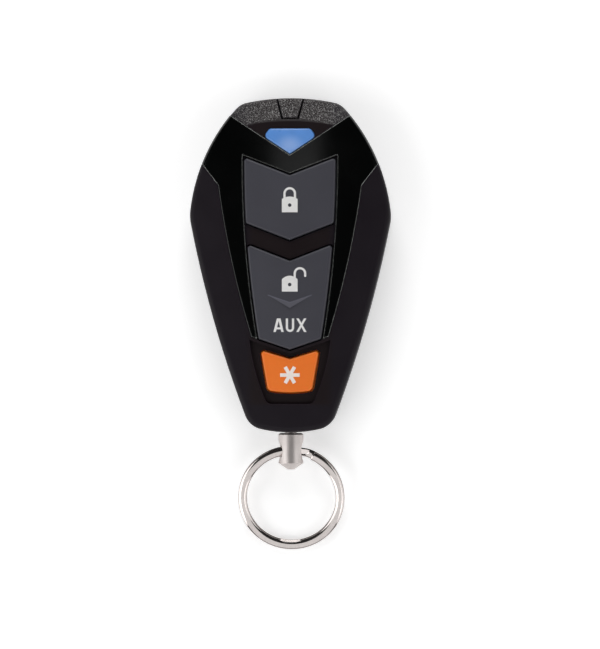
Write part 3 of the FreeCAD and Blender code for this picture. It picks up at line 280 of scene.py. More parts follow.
def padlock_body(surface, film, half, hole, low, corner, crown, keyhole):
    """The body of a printed padlock round its keyhole.

    Round the keyhole, at an even share of the outline, each profile runs from the keyhole's circle to
    the outline and back underneath. The outline is a box whose upper edge rises to the crown as one
    minus the square of the place across. Its places, from low to crown, are heights along Y.
    """
    count, rounding = 40, 0.05
    share = np.linspace(-1, 1, count)
    top = np.stack([-share * half, corner + (crown - corner) * (1 - share ** 2)], axis=1)
    base = np.stack([share * half, np.full(count, low)], axis=1)
    rise = np.linspace(0, 1, 12)[1:-1]
    right = np.stack([np.full(len(rise), half), low + rise * (corner - low)], axis=1)
    left = right[::-1] * (-1, 1)
    rim = np.concatenate([base, right, top, left])
    centre = np.array([0, keyhole])
    reach = rim - centre
    far = np.linalg.norm(reach, axis=1)[:, None]
    inner = hole / far
    edge = rounding / far
    whole = np.ones_like(far)
    shares = [inner, inner, inner + edge, (1 + inner) / 2, 1 - edge, whole, whole]
    heights = np.array([-1, 0.6, 1, 1.02, 1, 0.6, -1])
    plan = np.stack([centre + reach * part for part in shares], axis=1)
    height = surface(plan[..., 0], plan[..., 1]) + film * heights
    return np.concatenate([plan, height[..., None]], axis=-1), True


def arch(middle, height, radius, start, end, steps=28):
    """Points on an arc from one angle to another, in degrees from the right, counterclockwise."""
    turn = np.radians(np.linspace(start, end, steps))
    return np.stack([middle + radius * np.cos(turn), height + radius * np.sin(turn)], axis=1)


def leg(place, start, end, steps=10):
    """Points straight along Y at one place, without the last, which the arc that follows gives."""
    return np.stack([np.full(steps, place), np.linspace(start, end, steps + 1)[:-1]], axis=1)


# Node trees

def fill(tree, node, feeds):
    """Give inputs, by name or number, values or outputs; an underscore in a name is a space."""
    for name, value in feeds.items():
        socket = node.inputs[name.replace("_", " ") if isinstance(name, str) else name]
        if isinstance(value, bpy.types.NodeSocket):
            tree.links.new(value, socket)
        else:
            socket.default_value = value


def add(tree, kind, feeds=None, **settings):
    """A node with its settings and its inputs."""
    node = tree.nodes.new(kind)
    for name, value in settings.items():
        setattr(node, name, value)
    fill(tree, node, feeds or {})
    return node


def group_tree(name, inputs, outputs):
    """An empty node group: its tree, what its input node gives, and its output node.

    Each input is named with its value, and each output with the type of its values.
    """
    tree = bpy.data.node_groups.new(name, "ShaderNodeTree")
    kinds = {float: "NodeSocketFloat", tuple: "NodeSocketColor", Vector: "NodeSocketVector"}
    for label, value in inputs.items():
        socket = tree.interface.new_socket(label, in_out="INPUT", socket_type=kinds[type(value)])
        socket.default_value = value
    for label, kind in outputs.items():
        tree.interface.new_socket(label, in_out="OUTPUT", socket_type=kinds[kind])
    return tree, add(tree, "NodeGroupInput").outputs, add(tree, "NodeGroupOutput")


def place_of(tree):
    """Object coordinates."""
    return add(tree, "ShaderNodeTexCoord").outputs["Object"]


def parted(tree, vector):
    """The three parts of a vector, by the names X, Y and Z."""
    return add(tree, "ShaderNodeSeparateXYZ", {0: vector}).outputs


def ranged(tree, value, low, high, to_low=0.0, to_high=1.0):
    """A value mapped smoothly from one range to another."""
    feeds = {"Value": value, "From Min": low, "From Max": high, "To Min": to_low, "To Max": to_high}
    return add(tree, "ShaderNodeMapRange", feeds, interpolation_type="SMOOTHSTEP").outputs["Result"]


def eased(tree, value, low, high, to_low=0.0, to_high=1.0):
    """A length mapped smoothly from a range in millimetres to another range."""
    return ranged(tree, value, low * MM, high * MM, to_low, to_high)


def blended(tree, share, first, second):
    """Two colours mixed by a share."""
    return add(tree, "ShaderNodeMix", {0: share, 6: first, 7: second}, data_type="RGBA").outputs[2]


def reckoned(tree, operation, first, second):
    """A Math node on two values."""
    return add(tree, "ShaderNodeMath", {0: first, 1: second}, operation=operation).outputs[0]


def times(tree, first, *others):
    """The product of values."""
    for other in others:
        first = reckoned(tree, "MULTIPLY", first, other)
    return first


def apart(tree, first, second):
    """How far two values are apart."""
    return reckoned(tree, "ABSOLUTE", reckoned(tree, "SUBTRACT", first, second), 0.0)


def vectors(tree, operation, first, second=(0.0, 0.0, 0.0)):
    """What a Vector Math node gives: "Vector", or "Value" for a length or a dot product."""
    return add(tree, "ShaderNodeVectorMath", {0: first, 1: second}, operation=operation).outputs


def noise(tree, place, scale, detail=2.0, roughness=0.5):
    """Fractal noise about 0.5."""
    feeds = {"Vector": place, "Scale": scale, "Detail": detail, "Roughness": roughness}
    return add(tree, "ShaderNodeTexNoise", feeds).outputs["Fac"]


def grain_group():
    """Moulded grain: fine noise over coarser rounded cells, as a height, and a mask of its peaks."""
    tree, given, result = group_tree(
        "moulded_grain", {"Scale": 7000.0, "Coarse Share": 0.35}, {"Height": float, "Peaks": float},
    )
    place = place_of(tree)
    fine = noise(tree, place, given["Scale"], 3.0, 0.6)
    feeds = {"Vector": place, "Scale": times(tree, given["Scale"], 0.55), "Smoothness": 0.6}
    cells = add(tree, "ShaderNodeTexVoronoi", feeds, feature="SMOOTH_F1").outputs["Distance"]
    height = add(tree, "ShaderNodeMix", {0: given["Coarse Share"], 2: fine, 3: cells}).outputs[0]
    fill(tree, result, {"Height": height, "Peaks": ranged(tree, height, 0.5, 0.66)})
    return tree


def drift_group():
    """A slow drift between two colours, with a little fine mottling in it."""
    tree, given, result = group_tree(
        "tone_drift",
        {"Base": (0.5, 0.5, 0.5, 1), "Shift": (0.6, 0.6, 0.6, 1), "Scale": 120.0, "Amount": 0.6},
        {"Color": tuple},
    )
    place = place_of(tree)
    mottle = noise(tree, place, times(tree, given["Scale"], 24.0), 1.0)
    both = reckoned(tree, "ADD", noise(tree, place, given["Scale"]), times(tree, mottle, 0.4))
    share = times(tree, ranged(tree, both, 0.5, 0.95), given["Amount"])
    fill(tree, result, {"Color": blended(tree, share, given["Base"], given["Shift"])})
    return tree


def edge_wear_highlight_group():
    """Edges, for wear and for painted highlights: the turn of the surface within a width, broken up by
    noise.
    """
    tree, given, result = group_tree("edge_wear_highlight", {"Width": 0.0002, "Break Up": 3000.0}, {"Mask": float})
    soft = add(tree, "ShaderNodeBevel", {"Radius": given["Width"]}, samples=4).outputs["Normal"]
    plain = add(tree, "ShaderNodeNewGeometry").outputs["Normal"]
    turn = vectors(tree, "DOT_PRODUCT", soft, plain)["Value"]
    edge = ranged(tree, reckoned(tree, "SUBTRACT", 1.0, turn), 0.01, 0.25)
    broken = ranged(tree, noise(tree, place_of(tree), given["Break Up"]), 0.25, 0.6, 0.35, 1.0)
    fill(tree, result, {"Mask": times(tree, edge, broken)})
    return tree


def smudge_group():
    """Handling marks: a roughness that wanders slowly from low to high, with fine dust in it."""
    tree, given, result = group_tree(
        "handling_smudge", {"Low": 0.1, "High": 0.3, "Dust": 0.05}, {"Roughness": float},
    )
    place = place_of(tree)
    feeds = {"Value": noise(tree, place, 150.0, 4.0), "From Min": 0.3, "From Max": 0.7}
    feeds.update({"To Min": given["Low"], "To Max": given["High"]})
    wander = add(tree, "ShaderNodeMapRange", feeds).outputs["Result"]
    dust = times(tree, ranged(tree, noise(tree, place, 6000.0), 0.62, 0.75), given["Dust"])
    fill(tree, result, {"Roughness": reckoned(tree, "ADD", wander, dust)})
    return tree


def brush_group():
    """Brushed metal: noise drawn out along the axes of small stretch, as a height and a mask."""
    tree, given, result = group_tree(
        "brushed_lines", {"Stretch": Vector((1, 1, 1))}, {"Height": float, "Lines": float},
    )
    drawn = vectors(tree, "MULTIPLY", place_of(tree), given["Stretch"])["Vector"]
    lines = noise(tree, drawn, 9000.0, 4.0, 0.65)
    fill(tree, result, {"Height": lines, "Lines": ranged(tree, lines, 0.38, 0.68)})
    return tree


GROUP_MAKERS = {
    "moulded_grain": grain_group,
    "tone_drift": drift_group,
    "edge_wear_highlight": edge_wear_highlight_group,
    "handling_smudge": smudge_group,
    "brushed_lines": brush_group,
}


def effect(tree, name, **values):
    """What a shared effect gives in a material with its own values."""
    shared = bpy.data.node_groups.get(name) or GROUP_MAKERS[name]()
    return add(tree, "ShaderNodeGroup", values, node_tree=shared).outputs


def rgba(value, gain=1.0):
    """A colour of four parts from one of three, made lighter or darker by a gain."""
    return tuple(min(part * gain, 1.0) for part in value) + (1.0,)


def drift(tree, base, gain, **others):
    """A colour that drifts to itself times a gain."""
    return effect(tree, "tone_drift", Base=rgba(base), Shift=rgba(base, gain), **others)["Color"]


def shine(tree, low, high, **others):
    """A roughness that wanders between two values."""
    return effect(tree, "handling_smudge", Low=low, High=high, **others)["Roughness"]


def grain(tree, scale, **others):
    """The height of moulded grain."""
    return effect(tree, "moulded_grain", Scale=scale, **others)["Height"]


def edge_worn_and_lit(tree, base, tone, amount, width, **others):
    """A colour with a tone along its edges, which stands for wear and for painted highlights, whose
    width is given in millimetres.
    """
    edge = effect(tree, "edge_wear_highlight", Width=width * MM, **others)["Mask"]
    return blended(tree, times(tree, edge, amount), base, tone)


def new_material(name, **constants):
    """A material with a Principled shader whose plain values are set on its own sockets."""
    material = bpy.data.materials.new(name)
    material.use_nodes = True
    tree = material.node_tree
    shader = tree.nodes["Principled BSDF"]
    fill(tree, shader, constants)
    return material, tree, shader


def finish_with(tree, shader, tone, rough, height, depth, **others):
    """Feed a shader its colour, its roughness and a relief, whose depth is given in millimetres."""
    bump = add(tree, "ShaderNodeBump", {"Height": height, "Strength": 1.0, "Distance": depth * MM})
    feeds = {"Base Color": tone, "Roughness": rough, "Normal": bump.outputs["Normal"]}
    fill(tree, shader, {**feeds, **others})


def moulded(name, base, gain, rough, scale, depth, rub=0.5, width=0.15, **constants):
    """A moulded plastic: drifting colour, edges lighter as wear and as painted highlight, wandering
    roughness and fine grain.
    """
    material, tree, shader = new_material(name, **constants)
    tone = edge_worn_and_lit(tree, drift(tree, base, gain), rgba(base, 1.9), rub, width)
    finish_with(tree, shader, tone, shine(tree, *rough), grain(tree, scale), depth)
    return material


def metal(name, base, stretch, rough, depth):
    """A metal with drawn lines: its colour and relief follow the lines, and its edges are polished."""
    material, tree, shader = new_material(name, Metallic=1.0)
    lines = effect(tree, "brushed_lines", Stretch=Vector(stretch))
    share = times(tree, lines["Lines"], 0.25)
    tone = blended(tree, share, drift(tree, base, 0.86, Scale=200.0), rgba(base, 1.15))
    polish = times(tree, effect(tree, "edge_wear_highlight", Width=0.1 * MM)["Mask"], 0.5 * rough[0])
    dull = reckoned(tree, "SUBTRACT", shine(tree, *rough, Dust=0.08), polish)
    finish_with(tree, shader, tone, dull, lines["Height"], depth)
    return material


def overlaid(tree, share, tone):
    """Blend a tone over a material's own colour by a share."""
    base = tree.nodes["Principled BSDF"].inputs["Base Color"]
    tree.links.new(blended(tree, share, base.links[0].from_socket, tone), base)


def ring_material(nickel):
    """Polished nickel, with painted shade that darkens the two narrow edges of the wire."""
    material = metal("ring_polished_nickel", nickel, (0.2, 0.2, 0.2), rough=(0.04, 0.1), depth=0.0008)
    tree = material.node_tree
    side = add(tree, "ShaderNodeAttribute", attribute_name=WIRE_SIDE).outputs["Fac"]
    # Painted shade: dark outlines along the wire's two narrow edges.
    overlaid(tree, ranged(tree, side, 0.8, 0.98, 0.0, 0.6), (0.16, 0.13, 0.11, 1.0))
    return material


def post_material(nickel):
    """Brushed nickel, with painted shade that darkens the walls of the cross hole."""
    material = metal("post_brushed_nickel", nickel, (0.12, 1.0, 0.12), rough=(0.4, 0.5), depth=0.004)
    tree = material.node_tree
    centred = vectors(tree, "SUBTRACT", place_of(tree), EYE_PLACE)["Vector"]
    feeds = {"Vector": centred, "Angle": -EYE_TURN}
    turned = add(tree, "ShaderNodeVectorRotate", feeds, rotation_type="Y_AXIS").outputs[0]
    from_axis = vectors(tree, "MULTIPLY", turned, (0.0, 1.0, 1.0))["Vector"]
    reach = vectors(tree, "LENGTH", from_axis)["Value"]
    # Painted shade: the walls of the cross hole are darkened.
    overlaid(tree, eased(tree, reach, *EYE_SHADE, 0.9, 0.0), (0.04, 0.028, 0.02, 1.0))
    return material


def case_material(finish):
    """Charcoal plastic with fine grain, and above the seam three looks by place.

    The middle of the face is painted darker, as shade between and under the keys, and warmer, as a
    reflection of the orange key. The cap, outside of a circle round the origin, has coarse grain with
    painted sparkle highlights on its peaks, fewer of them away from the middle. Two slits on the cap
    are painted black, as the shade in them.
    """
    material, tree, shader = new_material("case_charcoal", Specular_IOR_Level=0.17)
    place = place_of(tree)
    parts = parted(tree, place)
    along, across = parts["Y"], apart(tree, parts["X"], 0.0)
    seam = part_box("front_housing")[0].z
    above = ranged(tree, parts["Z"], seam - SOFT_EDGE, seam + SOFT_EDGE)

    # Painted shade: the middle of the face is darkened between and under the keys, and warmed as a
    # painted reflection of the orange key.
    middle = times(tree, above, eased(tree, along, *MIDDLE_START))
    warm = times(tree, middle, eased(tree, across, *MIDDLE_SIDE, 0.8, 0.0))
    tone = blended(tree, warm, drift(tree, finish.case, 1.25), rgba(finish.case_middle_shade))

    reach = vectors(tree, "LENGTH", vectors(tree, "MULTIPLY", place, (1.0, 1.0, 0.0))["Vector"])["Value"]
    cap = times(tree, above, eased(tree, reach, *CAP_CIRCLE), eased(tree, along, *CAP_START))
    coarse = effect(tree, "moulded_grain", Scale=CASE_GRAIN, Coarse_Share=0.3)
    # Painted highlights: the peaks of the coarse grain on the cap are lightened as sparkle, fewer of
    # them away from the middle.
    sparkle = times(tree, coarse["Peaks"], cap, eased(tree, across, *SPARKLE_SIDE, 1.0, 0.4))
    tone = blended(tree, sparkle, tone, rgba(finish.cap_sparkle))

    # Painted shade: the two slits are painted black, with full roughness, as the shade inside them.
    lean = times(tree, reckoned(tree, "SUBTRACT", along, SLIT_ALONG * MM), SLIT_LEAN)
    off = apart(tree, across, reckoned(tree, "ADD", lean, SLIT_ACROSS * MM))
    slit_shade = times(tree, above, eased(tree, along, *SLIT_START), eased(tree, off, *SLIT_SIDE, 1.0, 0.0))
    tone = blended(tree, slit_shade, tone, (0.0008, 0.0008, 0.0008, 1.0))

    # The case's edges are lightened, partly as wear and partly as a painted highlight.
    tone = edge_worn_and_lit(tree, tone, rgba(finish.case, 5.0), amount=0.6, width=0.2)
    rough = reckoned(tree, "SUBTRACT", shine(tree, 0.42, 0.54, Dust=0.08), times(tree, cap, 0.1))
    rough = reckoned(tree, "MAXIMUM", rough, slit_shade)
    fine = times(tree, grain(tree, CASE_GRAIN, Coarse_Share=0.2), 0.22)
    height = reckoned(tree, "ADD", fine, times(tree, coarse["Height"], cap, 1.6))
    finish_with(tree, shader, tone, rough, height, depth=0.03)
    return material


def bezel_material(finish):
    """Piano black: faint waviness, a wandering shine, dust, and painted pale highlights along its edges.
    """
    material, tree, shader = new_material("bezel_piano_black", Specular_IOR_Level=0.4)
    # Painted highlight: pale grey along the bezel's edges, standing for the light lines that its bevels
    # catch.
    pale = (0.58, 0.6, 0.58, 1.0)
    black = drift(tree, finish.bezel, 1.8)
    tone = edge_worn_and_lit(tree, black, pale, amount=0.9, width=0.3, Break_Up=1500.0)
    waves = grain(tree, 500.0, Coarse_Share=0.0)
    finish_with(tree, shader, tone, shine(tree, 0.13, 0.19, Dust=0.1), waves, depth=0.002)
    return material


def key_material(finish):
    """Satin grey plastic with painted highlights along its edges, a painted lit face on the raised
    chevron of the rocker, and a painted highlight along the chevron's upper edge.

    The chevron lies under the line that rises from its apex to its ends, and over the line that rises
    from its low point to them.
    """
    # Painted highlights: the grey keys' edges are lightened as the highlight that their fillets catch.
    material = moulded(
        "key_satin_grey", finish.key, 1.12, rough=(0.44, 0.52), scale=10000.0, depth=0.003,
        rub=0.9, width=0.25,
    )
    tree = material.node_tree
    parts = parted(tree, place_of(tree))
    across = apart(tree, parts["X"], 0.0)
    past = []
    for height in (CHEVRON_APEX, CHEVRON_LOW):
        slope = (CHEVRON_END - height) / CHEVRON_HALF
        line = reckoned(tree, "ADD", times(tree, across, slope), height * MM)
        past.append(reckoned(tree, "SUBTRACT", parts["Y"], line))
    under = eased(tree, past[0], -CHEVRON_SOFT, CHEVRON_SOFT, 1.0, 0.0)
    over = eased(tree, past[1], -CHEVRON_SOFT, CHEVRON_SOFT)
    # Painted light: the chevron's face is lightened as if lit.
    overlaid(tree, times(tree, under, over), rgba(finish.key, 1.7))
    # Painted highlight: a bright line along the chevron's upper edge.
    edge = eased(tree, apart(tree, past[0], 0.0), *CHEVRON_HIGHLIGHT, 0.8, 0.0)
    inside = eased(tree, across, CHEVRON_HALF - 0.1, CHEVRON_HALF + 0.05, 1.0, 0.0)
    overlaid(tree, times(tree, edge, inside), rgba(finish.key, 2.4))
    return material


def lens_material(finish):
    """Frosted blue plastic: a painted pale glow over the lamp, deeper blue towards the corners, and a
    painted highlight along its edges.
    """
    material, tree, shader = new_material("lens_frosted_blue", Coat_Roughness=0.08)
    from_lamp = vectors(tree, "SUBTRACT", place_of(tree), LAMP_PLACE)["Vector"]
    squeezed = vectors(tree, "MULTIPLY", from_lamp, (0.75, 1.0, 0.0))["Vector"]
    reach = vectors(tree, "LENGTH", squeezed)["Value"]
    # Painted glow: the lens is paler over its lamp, though the lamp gives no light.
    glow = eased(tree, reach, *LAMP_GLOW, 0.85, 0.0)
    tone = blended(tree, glow, drift(tree, finish.lens, 1.15, Scale=400.0), rgba(finish.lens_glow))
    # Painted highlight: the lens's rim is lightened.
    tone = edge_worn_and_lit(tree, tone, rgba(finish.lens, 1.8), amount=0.8, width=0.18)
    rough, height = shine(tree, 0.25, 0.34), grain(tree, 9000.0)
    coat = eased(tree, reach, 0, 5, 0.35, 0.2)
    finish_with(tree, shader, tone, rough, height, depth=0.002, Coat_Weight=coat)
    return material


def print_material(name, ink):
    """Screen print: an even film with a slight orange peel and a few thin places."""
    material, tree, shader = new_material(name)
    thin = times(tree, effect(tree, "moulded_grain", Scale=5200.0)["Peaks"], 0.12)
    tone = blended(tree, thin, drift(tree, ink, 0.93, Scale=900.0, Amount=0.8), rgba(ink, 0.7))
    finish_with(tree, shader, tone, shine(tree, 0.4, 0.5), grain(tree, 3500.0), depth=0.003)
    return material


def board_material():
    """Circuit board: green mask over copper tracks, with tinned holes, and a pale glass edge."""
    material, tree, shader = new_material("board_green_mask", Coat_Weight=0.4, Coat_Roughness=0.15)
    place = place_of(tree)
    feeds = {"Vector": place, "Rotation": (0.0, 0.0, math.radians(45))}
    turned = add(tree, "ShaderNodeMapping", feeds).outputs[0]
    feeds = {"Vector": turned, "Scale": 420.0, "Mortar Size": 0.012, "Bias": -0.2}
    tracks = add(tree, "ShaderNodeTexBrick", feeds).outputs["Fac"]
    holes = add(tree, "ShaderNodeTexVoronoi", {"Vector": place, "Scale": 260.0}).outputs["Distance"]
    tin = ranged(tree, holes, 0.09, 0.11, 1.0, 0.0)
    mask = effect(tree, "tone_drift", Base=(0.012, 0.12, 0.045, 1), Shift=(0.02, 0.17, 0.07, 1))["Color"]
    copper = blended(tree, times(tree, tracks, 0.5), mask, (0.05, 0.3, 0.12, 1))
    faced = blended(tree, tin, copper, (0.62, 0.62, 0.6, 1))
    low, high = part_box("circuit_board")
    off = apart(tree, parted(tree, place)["Z"], (low.z + high.z) / 2)
    half = (high.z - low.z) / 2
    edge = ranged(tree, off, half - 0.03 * MM, half - 0.01 * MM, 1.0, 0.0)
    tone = blended(tree, edge, faced, (0.42, 0.38, 0.2, 1))
    height = reckoned(tree, "ADD", tracks, times(tree, tin, 0.6))
    finish_with(tree, shader, tone, shine(tree, 0.3, 0.42), height, depth=0.02)
    return material


def chip_material():
    """Microcontroller: matt epoxy between its two rows of tinned leads."""
    material, tree, shader = new_material("chip_epoxy")
    low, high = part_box("microcontroller")
    off = apart(tree, parted(tree, place_of(tree))["Y"], (low.y + high.y) / 2)
    lead = ranged(tree, off, EPOXY_HALF * MM, EPOXY_HALF * MM + SOFT_EDGE)
    base, shift = (0.012, 0.012, 0.013, 1), (0.02, 0.02, 0.021, 1)
    dark = effect(tree, "tone_drift", Base=base, Shift=shift)["Color"]
    tone = blended(tree, lead, dark, (0.6, 0.6, 0.58, 1))
    rough = reckoned(tree, "SUBTRACT", shine(tree, 0.45, 0.6), times(tree, lead, 0.25))
    finish_with(tree, shader, tone, rough, grain(tree, 12000.0), depth=0.004, Metallic=lead)
    return material


def components_material():
    """Small components: each is tan or dark by its place, with speckled glaze."""
    material, tree, shader = new_material("components_ceramic")
    cells = add(tree, "ShaderNodeTexVoronoi", {"Vector": place_of(tree), "Scale": 350.0})
    pick = add(tree, "ShaderNodeSeparateColor", {0: cells.outputs["Color"]}).outputs[0]
    kind = ranged(tree, pick, 0.45, 0.55)
    pair = blended(tree, kind, (0.3, 0.2, 0.11, 1), (0.02, 0.02, 0.022, 1))
    speck = effect(tree, "moulded_grain", Scale=9000.0)
    tone = blended(tree, times(tree, speck["Peaks"], 0.3), pair, (0.5, 0.45, 0.38, 1))
    finish_with(tree, shader, tone, shine(tree, 0.3, 0.45), speck["Height"], depth=0.006)
    return material


def dress(material, *names):
    """Give the CAD nodes of these names a material in every slot."""
    for name in names:
        slots = frame["nodes"][name].material_slots
        for index in range(len(slots)):
            slots[index].material = material


# Operators

class RemotePrint(bpy.types.Operator):
    """Print the padlock, the open padlock, the letters and the star on the keys"""

    bl_idname = "remote.print_marks"
    bl_label = "Print Key Marks"

    def execute(self, context):
        face = context.scene.remote_face
        ink = context.scene.remote_print
        film = ink.film / MM
        self.half = ink.padlock_half / MM
        self.hole = ink.keyhole / MM
        self.radius = ink.shackle_radius / MM
        self.stroke_half = ink.shackle_stroke / MM / 2
        self.letter_half = ink.letter_stroke / MM / 2
        self.star_half = ink.star_stroke / MM / 2
        plain = print_material("mark_print", ink.ink)
        warm = print_material("star_print", ink.star_ink)
        for name, body, rise, marks, material in (
            ("lock_mark", "lock_key", face.key_rise, self.lock, plain),
            ("unlock_mark", "rocker_key", face.key_rise, self.unlock, plain),
            ("aux_mark", "rocker_key", face.key_rise, self.letters, plain),
            ("star_mark", "star_key", face.star_rise, self.star, warm),
        ):
            surface = partial(face_height, face, rise=rise)
            piece = new_piece(name, marks(surface, film), material)
            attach(piece, body)
        return {"FINISHED"}

    def lock(self, surface, film):
        """A closed padlock: its body, and a shackle of two legs under half a circle."""
        foot, centre = 12.3, 13.26
        path = np.concatenate([
            leg(self.radius, foot, centre),
            arch(0, centre, self.radius, 0, 180),
            leg(-self.radius, foot, centre)[::-1],
        ])
        body = padlock_body(
            surface, film, self.half, self.hole, low=9.77, corner=12.24, crown=12.7, keyhole=11.1,
        )
        return [body, stroke(surface, path, self.stroke_half, 0.9 * film)]

    def unlock(self, surface, film):
        """An open padlock: its shackle stands on its left leg only, and its free end is rounded.

        Over the last half width, half the width follows a quarter of a circle.
        """
        middle, centre, free_end, foot = 1.9, -1.6, -2.25, -2.6
        path = np.concatenate([
            leg(middle + self.radius, free_end, centre, 16),
            arch(middle, centre, self.radius, 0, 180),
            leg(middle - self.radius, foot, centre)[::-1],
        ])
        down = np.clip((path[:, 1] - free_end) / self.stroke_half, 0.0, 1.0)
        rounding = np.maximum(np.sqrt(1 - (1 - down) ** 2), 0.12)
        half = self.stroke_half * np.where(path[:, 0] > middle, rounding, 1.0)
        body = padlock_body(
            surface, film, self.half, self.hole, low=-4.96, corner=-2.66, crown=-2.02, keyhole=-3.66,
        )
        return [body, stroke(surface, path, half, 0.9 * film)]

    def letters(self, surface, film):
        """The letters A, U and X in strokes cut level with their line.

        Along that line a slanted stroke is 1.12 times as wide as square to itself. The second of two
        strokes that cross is a little thinner, so that their tops don't coincide.
        """
        low, high = -12.46, -9.95
        left_foot, left_head, right_foot, right_head = -3.04, -2.16, -1.12, -1.94
        bar_left, bar_right, bar_height, bar_half = -2.6, -1.55, -11.8, 0.18
        middle, bowl = 0.045, 0.57
        rising, falling = (1.21, 3.1), (3.12, 1.23)
        half, thin = self.letter_half, 0.93 * film
        slant = 1.12 * half
        turn = low + bowl + half
        path = np.concatenate([
            leg(middle + bowl, high, turn, 16),
            arch(middle, turn, bowl, 0, -180),
            leg(middle - bowl, high, turn, 16)[::-1],
        ])

        def slanted(foot, head, thickness):
            return bar(surface, (foot, low), (head, high), slant, thickness, across=(1, 0))

        return [
            slanted(left_foot + slant, left_head, film),
            slanted(right_foot - slant, right_head, thin),
            bar(surface, (bar_left, bar_height), (bar_right, bar_height), bar_half, 0.86 * film),
            stroke(surface, path, half, film),
            slanted(rising[0] + slant, rising[1] - slant, film),
            slanted(falling[0] - slant, falling[1] + slant, thin),
        ]

    def star(self, surface, film):
        """Three bars that cross in the middle, sixty degrees apart, each thinner than the last."""
        centre = np.array([0, -20.48])
        bars = []
        for index, reach in enumerate((1.82, 1.74, 1.74)):
            turn = math.radians(60 * index)
            arm = reach * np.array([math.cos(turn), math.sin(turn)])
            thickness = film * (1 - 0.07 * index)
            bars.append(bar(surface, centre - arm, centre + arm, self.star_half, thickness))
        return bars


class RemoteRing(bpy.types.Operator):
    """Wind the split ring: one flattened wire through the front turn, the jog and the back turn"""

    bl_idname = "remote.wind_ring"
    bl_label = "Wind Split Ring"

    def execute(self, context):
        """The wire's section, |u|^p + |v|^p = 1 with the squareness as p, is carried along two turns.

        The angle runs clockwise from the post. The height goes from the front turn to the back turn
        through a smooth step over the jog, and the section shrinks a little at both cut ends.
        """
        ring = context.scene.remote_ring
        radius = (ring.outside - ring.wire_wide) / 2 / MM
        offset = (ring.wire_thick + ring.turn_gap) / 2 / MM
        steps, corners, squareness, blunted = 900, 32, 2.15, math.radians(1.5)
        turn = 2 * math.pi - (ring.jog_end + ring.end_gap - ring.jog_start)
        angles = np.linspace(ring.jog_start - turn, ring.jog_end + turn, steps)
        share = np.clip((angles - ring.jog_start) / (ring.jog_end - ring.jog_start), 0, 1)
        height = offset * (1 - 2 * (3 * share ** 2 - 2 * share ** 3))
        to_end = np.minimum(angles - angles[0], angles[-1] - angles)
        blunt = 0.8 + 0.2 * np.clip(to_end / blunted, 0, 1) ** 0.5
        around = np.linspace(0, 2 * math.pi, corners, endpoint=False)
        circle = np.stack([np.cos(around), np.sin(around)])
        square = np.sign(circle) * np.abs(circle) ** (2 / squareness)
        wide = square[0] * ring.wire_wide / 2 / MM
        thick = square[1] * ring.wire_thick / 2 / MM
        out = radius + blunt[:, None] * wide
        flat = np.stack([
            out * np.sin(angles)[:, None],
            out * np.cos(angles)[:, None],
            height[:, None] + blunt[:, None] * thick,
        ], axis=-1)
        tilt = np.array(Matrix.Rotation(ring.tilt, 3, "X"))
        axis = np.array(JOINTS["ring_swing"]["pos_m"]) / MM
        points = (flat - (0, radius, 0)) @ tilt.T + axis
        material = ring_material(context.scene.remote_finish.nickel)
        piece = new_piece("key_ring", [(points[:, ::-1], False)], material, crease=50.0)
        side = piece.data.attributes.new(WIRE_SIDE, "FLOAT", "POINT")
        side.data.foreach_set("value", np.tile(np.abs(circle[0, ::-1]), steps))
        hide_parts("split_ring")
        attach(piece, "ring")
        return {"FINISHED"}


class RemoteCaseFinish(bpy.types.Operator):
    """Finish the housings, the bezel and the indicator lens"""

    bl_idname = "remote.finish_case"
    bl_label = "Finish Case, Bezel and Lens"

    def execute(self, context):
        finish = context.scene.remote_finish
        dress(case_material(finish), "front_housing", "rear_housing")
        dress(bezel_material(finish), "bezel")
        dress(lens_material(finish), "indicator_lens")
        return {"FINISHED"}


class RemoteKeyFinish(bpy.types.Operator):
    """Finish the grey keys, the orange key and the keypad under them"""

    bl_idname = "remote.finish_keys"
    bl_label = "Finish Keys"

    def execute(self, context):
        finish = context.scene.remote_finish
        dress(key_material(finish), "lock_button", "unlock_aux_rocker")
        # Painted highlights: the orange key's edges are lightened as its lit rim.
        orange = moulded(
            "key_satin_orange", finish.star, 0.93, rough=(0.4, 0.5), scale=10000.0, depth=0.003,
            width=0.3, Subsurface_Weight=0.3, Subsurface_Scale=0.0006,
            Subsurface_Radius=(1.0, 0.35, 0.1),
        )
        dress(orange, "star_button")
        grey = (0.045, 0.045, 0.05)
        soft = moulded(
            "keypad_silicone", grey, 1.3, rough=(0.6, 0.72), scale=5000.0, depth=0.006, rub=0.2,
        )
        dress(soft, "keypad")
        return {"FINISHED"}


class RemoteMetalFinish(bpy.types.Operator):
    """Finish the post, the cell, the clip, the contacts and the other metal pieces"""

    bl_idname = "remote.finish_metal"
    bl_label = "Finish Metal Pieces"

    def execute(self, context):
        dress(post_material(context.scene.remote_finish.nickel), "swivel_post")
        steel, spring, copper = (0.56, 0.56, 0.56), (0.6, 0.58, 0.54), (0.7, 0.32, 0.17)
        contacts = ("battery_clip", "negative_contact")
        for names, look, base, stretch, rough, depth in (
            (("cell_can", "cell_lid"), "cell_pressed_steel", steel, (0.1, 1, 1), (0.24, 0.36), 0.003),
            (("saw_resonator", "crystal"), "can_tinned_steel", steel, (1, 0.1, 1), (0.22, 0.34), 0.002),
            (("switch_covers",), "cover_rolled_steel", steel, (0.1, 1, 0.1), (0.28, 0.4), 0.003),
            (contacts, "contact_sprung_steel", spring, (0.08, 1, 1), (0.2, 0.3), 0.002),
            (("antenna_loop",), "antenna_bare_copper", copper, (1, 1, 1), (0.25, 0.4), 0.003),
        ):
            dress(metal(look, base, stretch, rough, depth), *names)
        return {"FINISHED"}


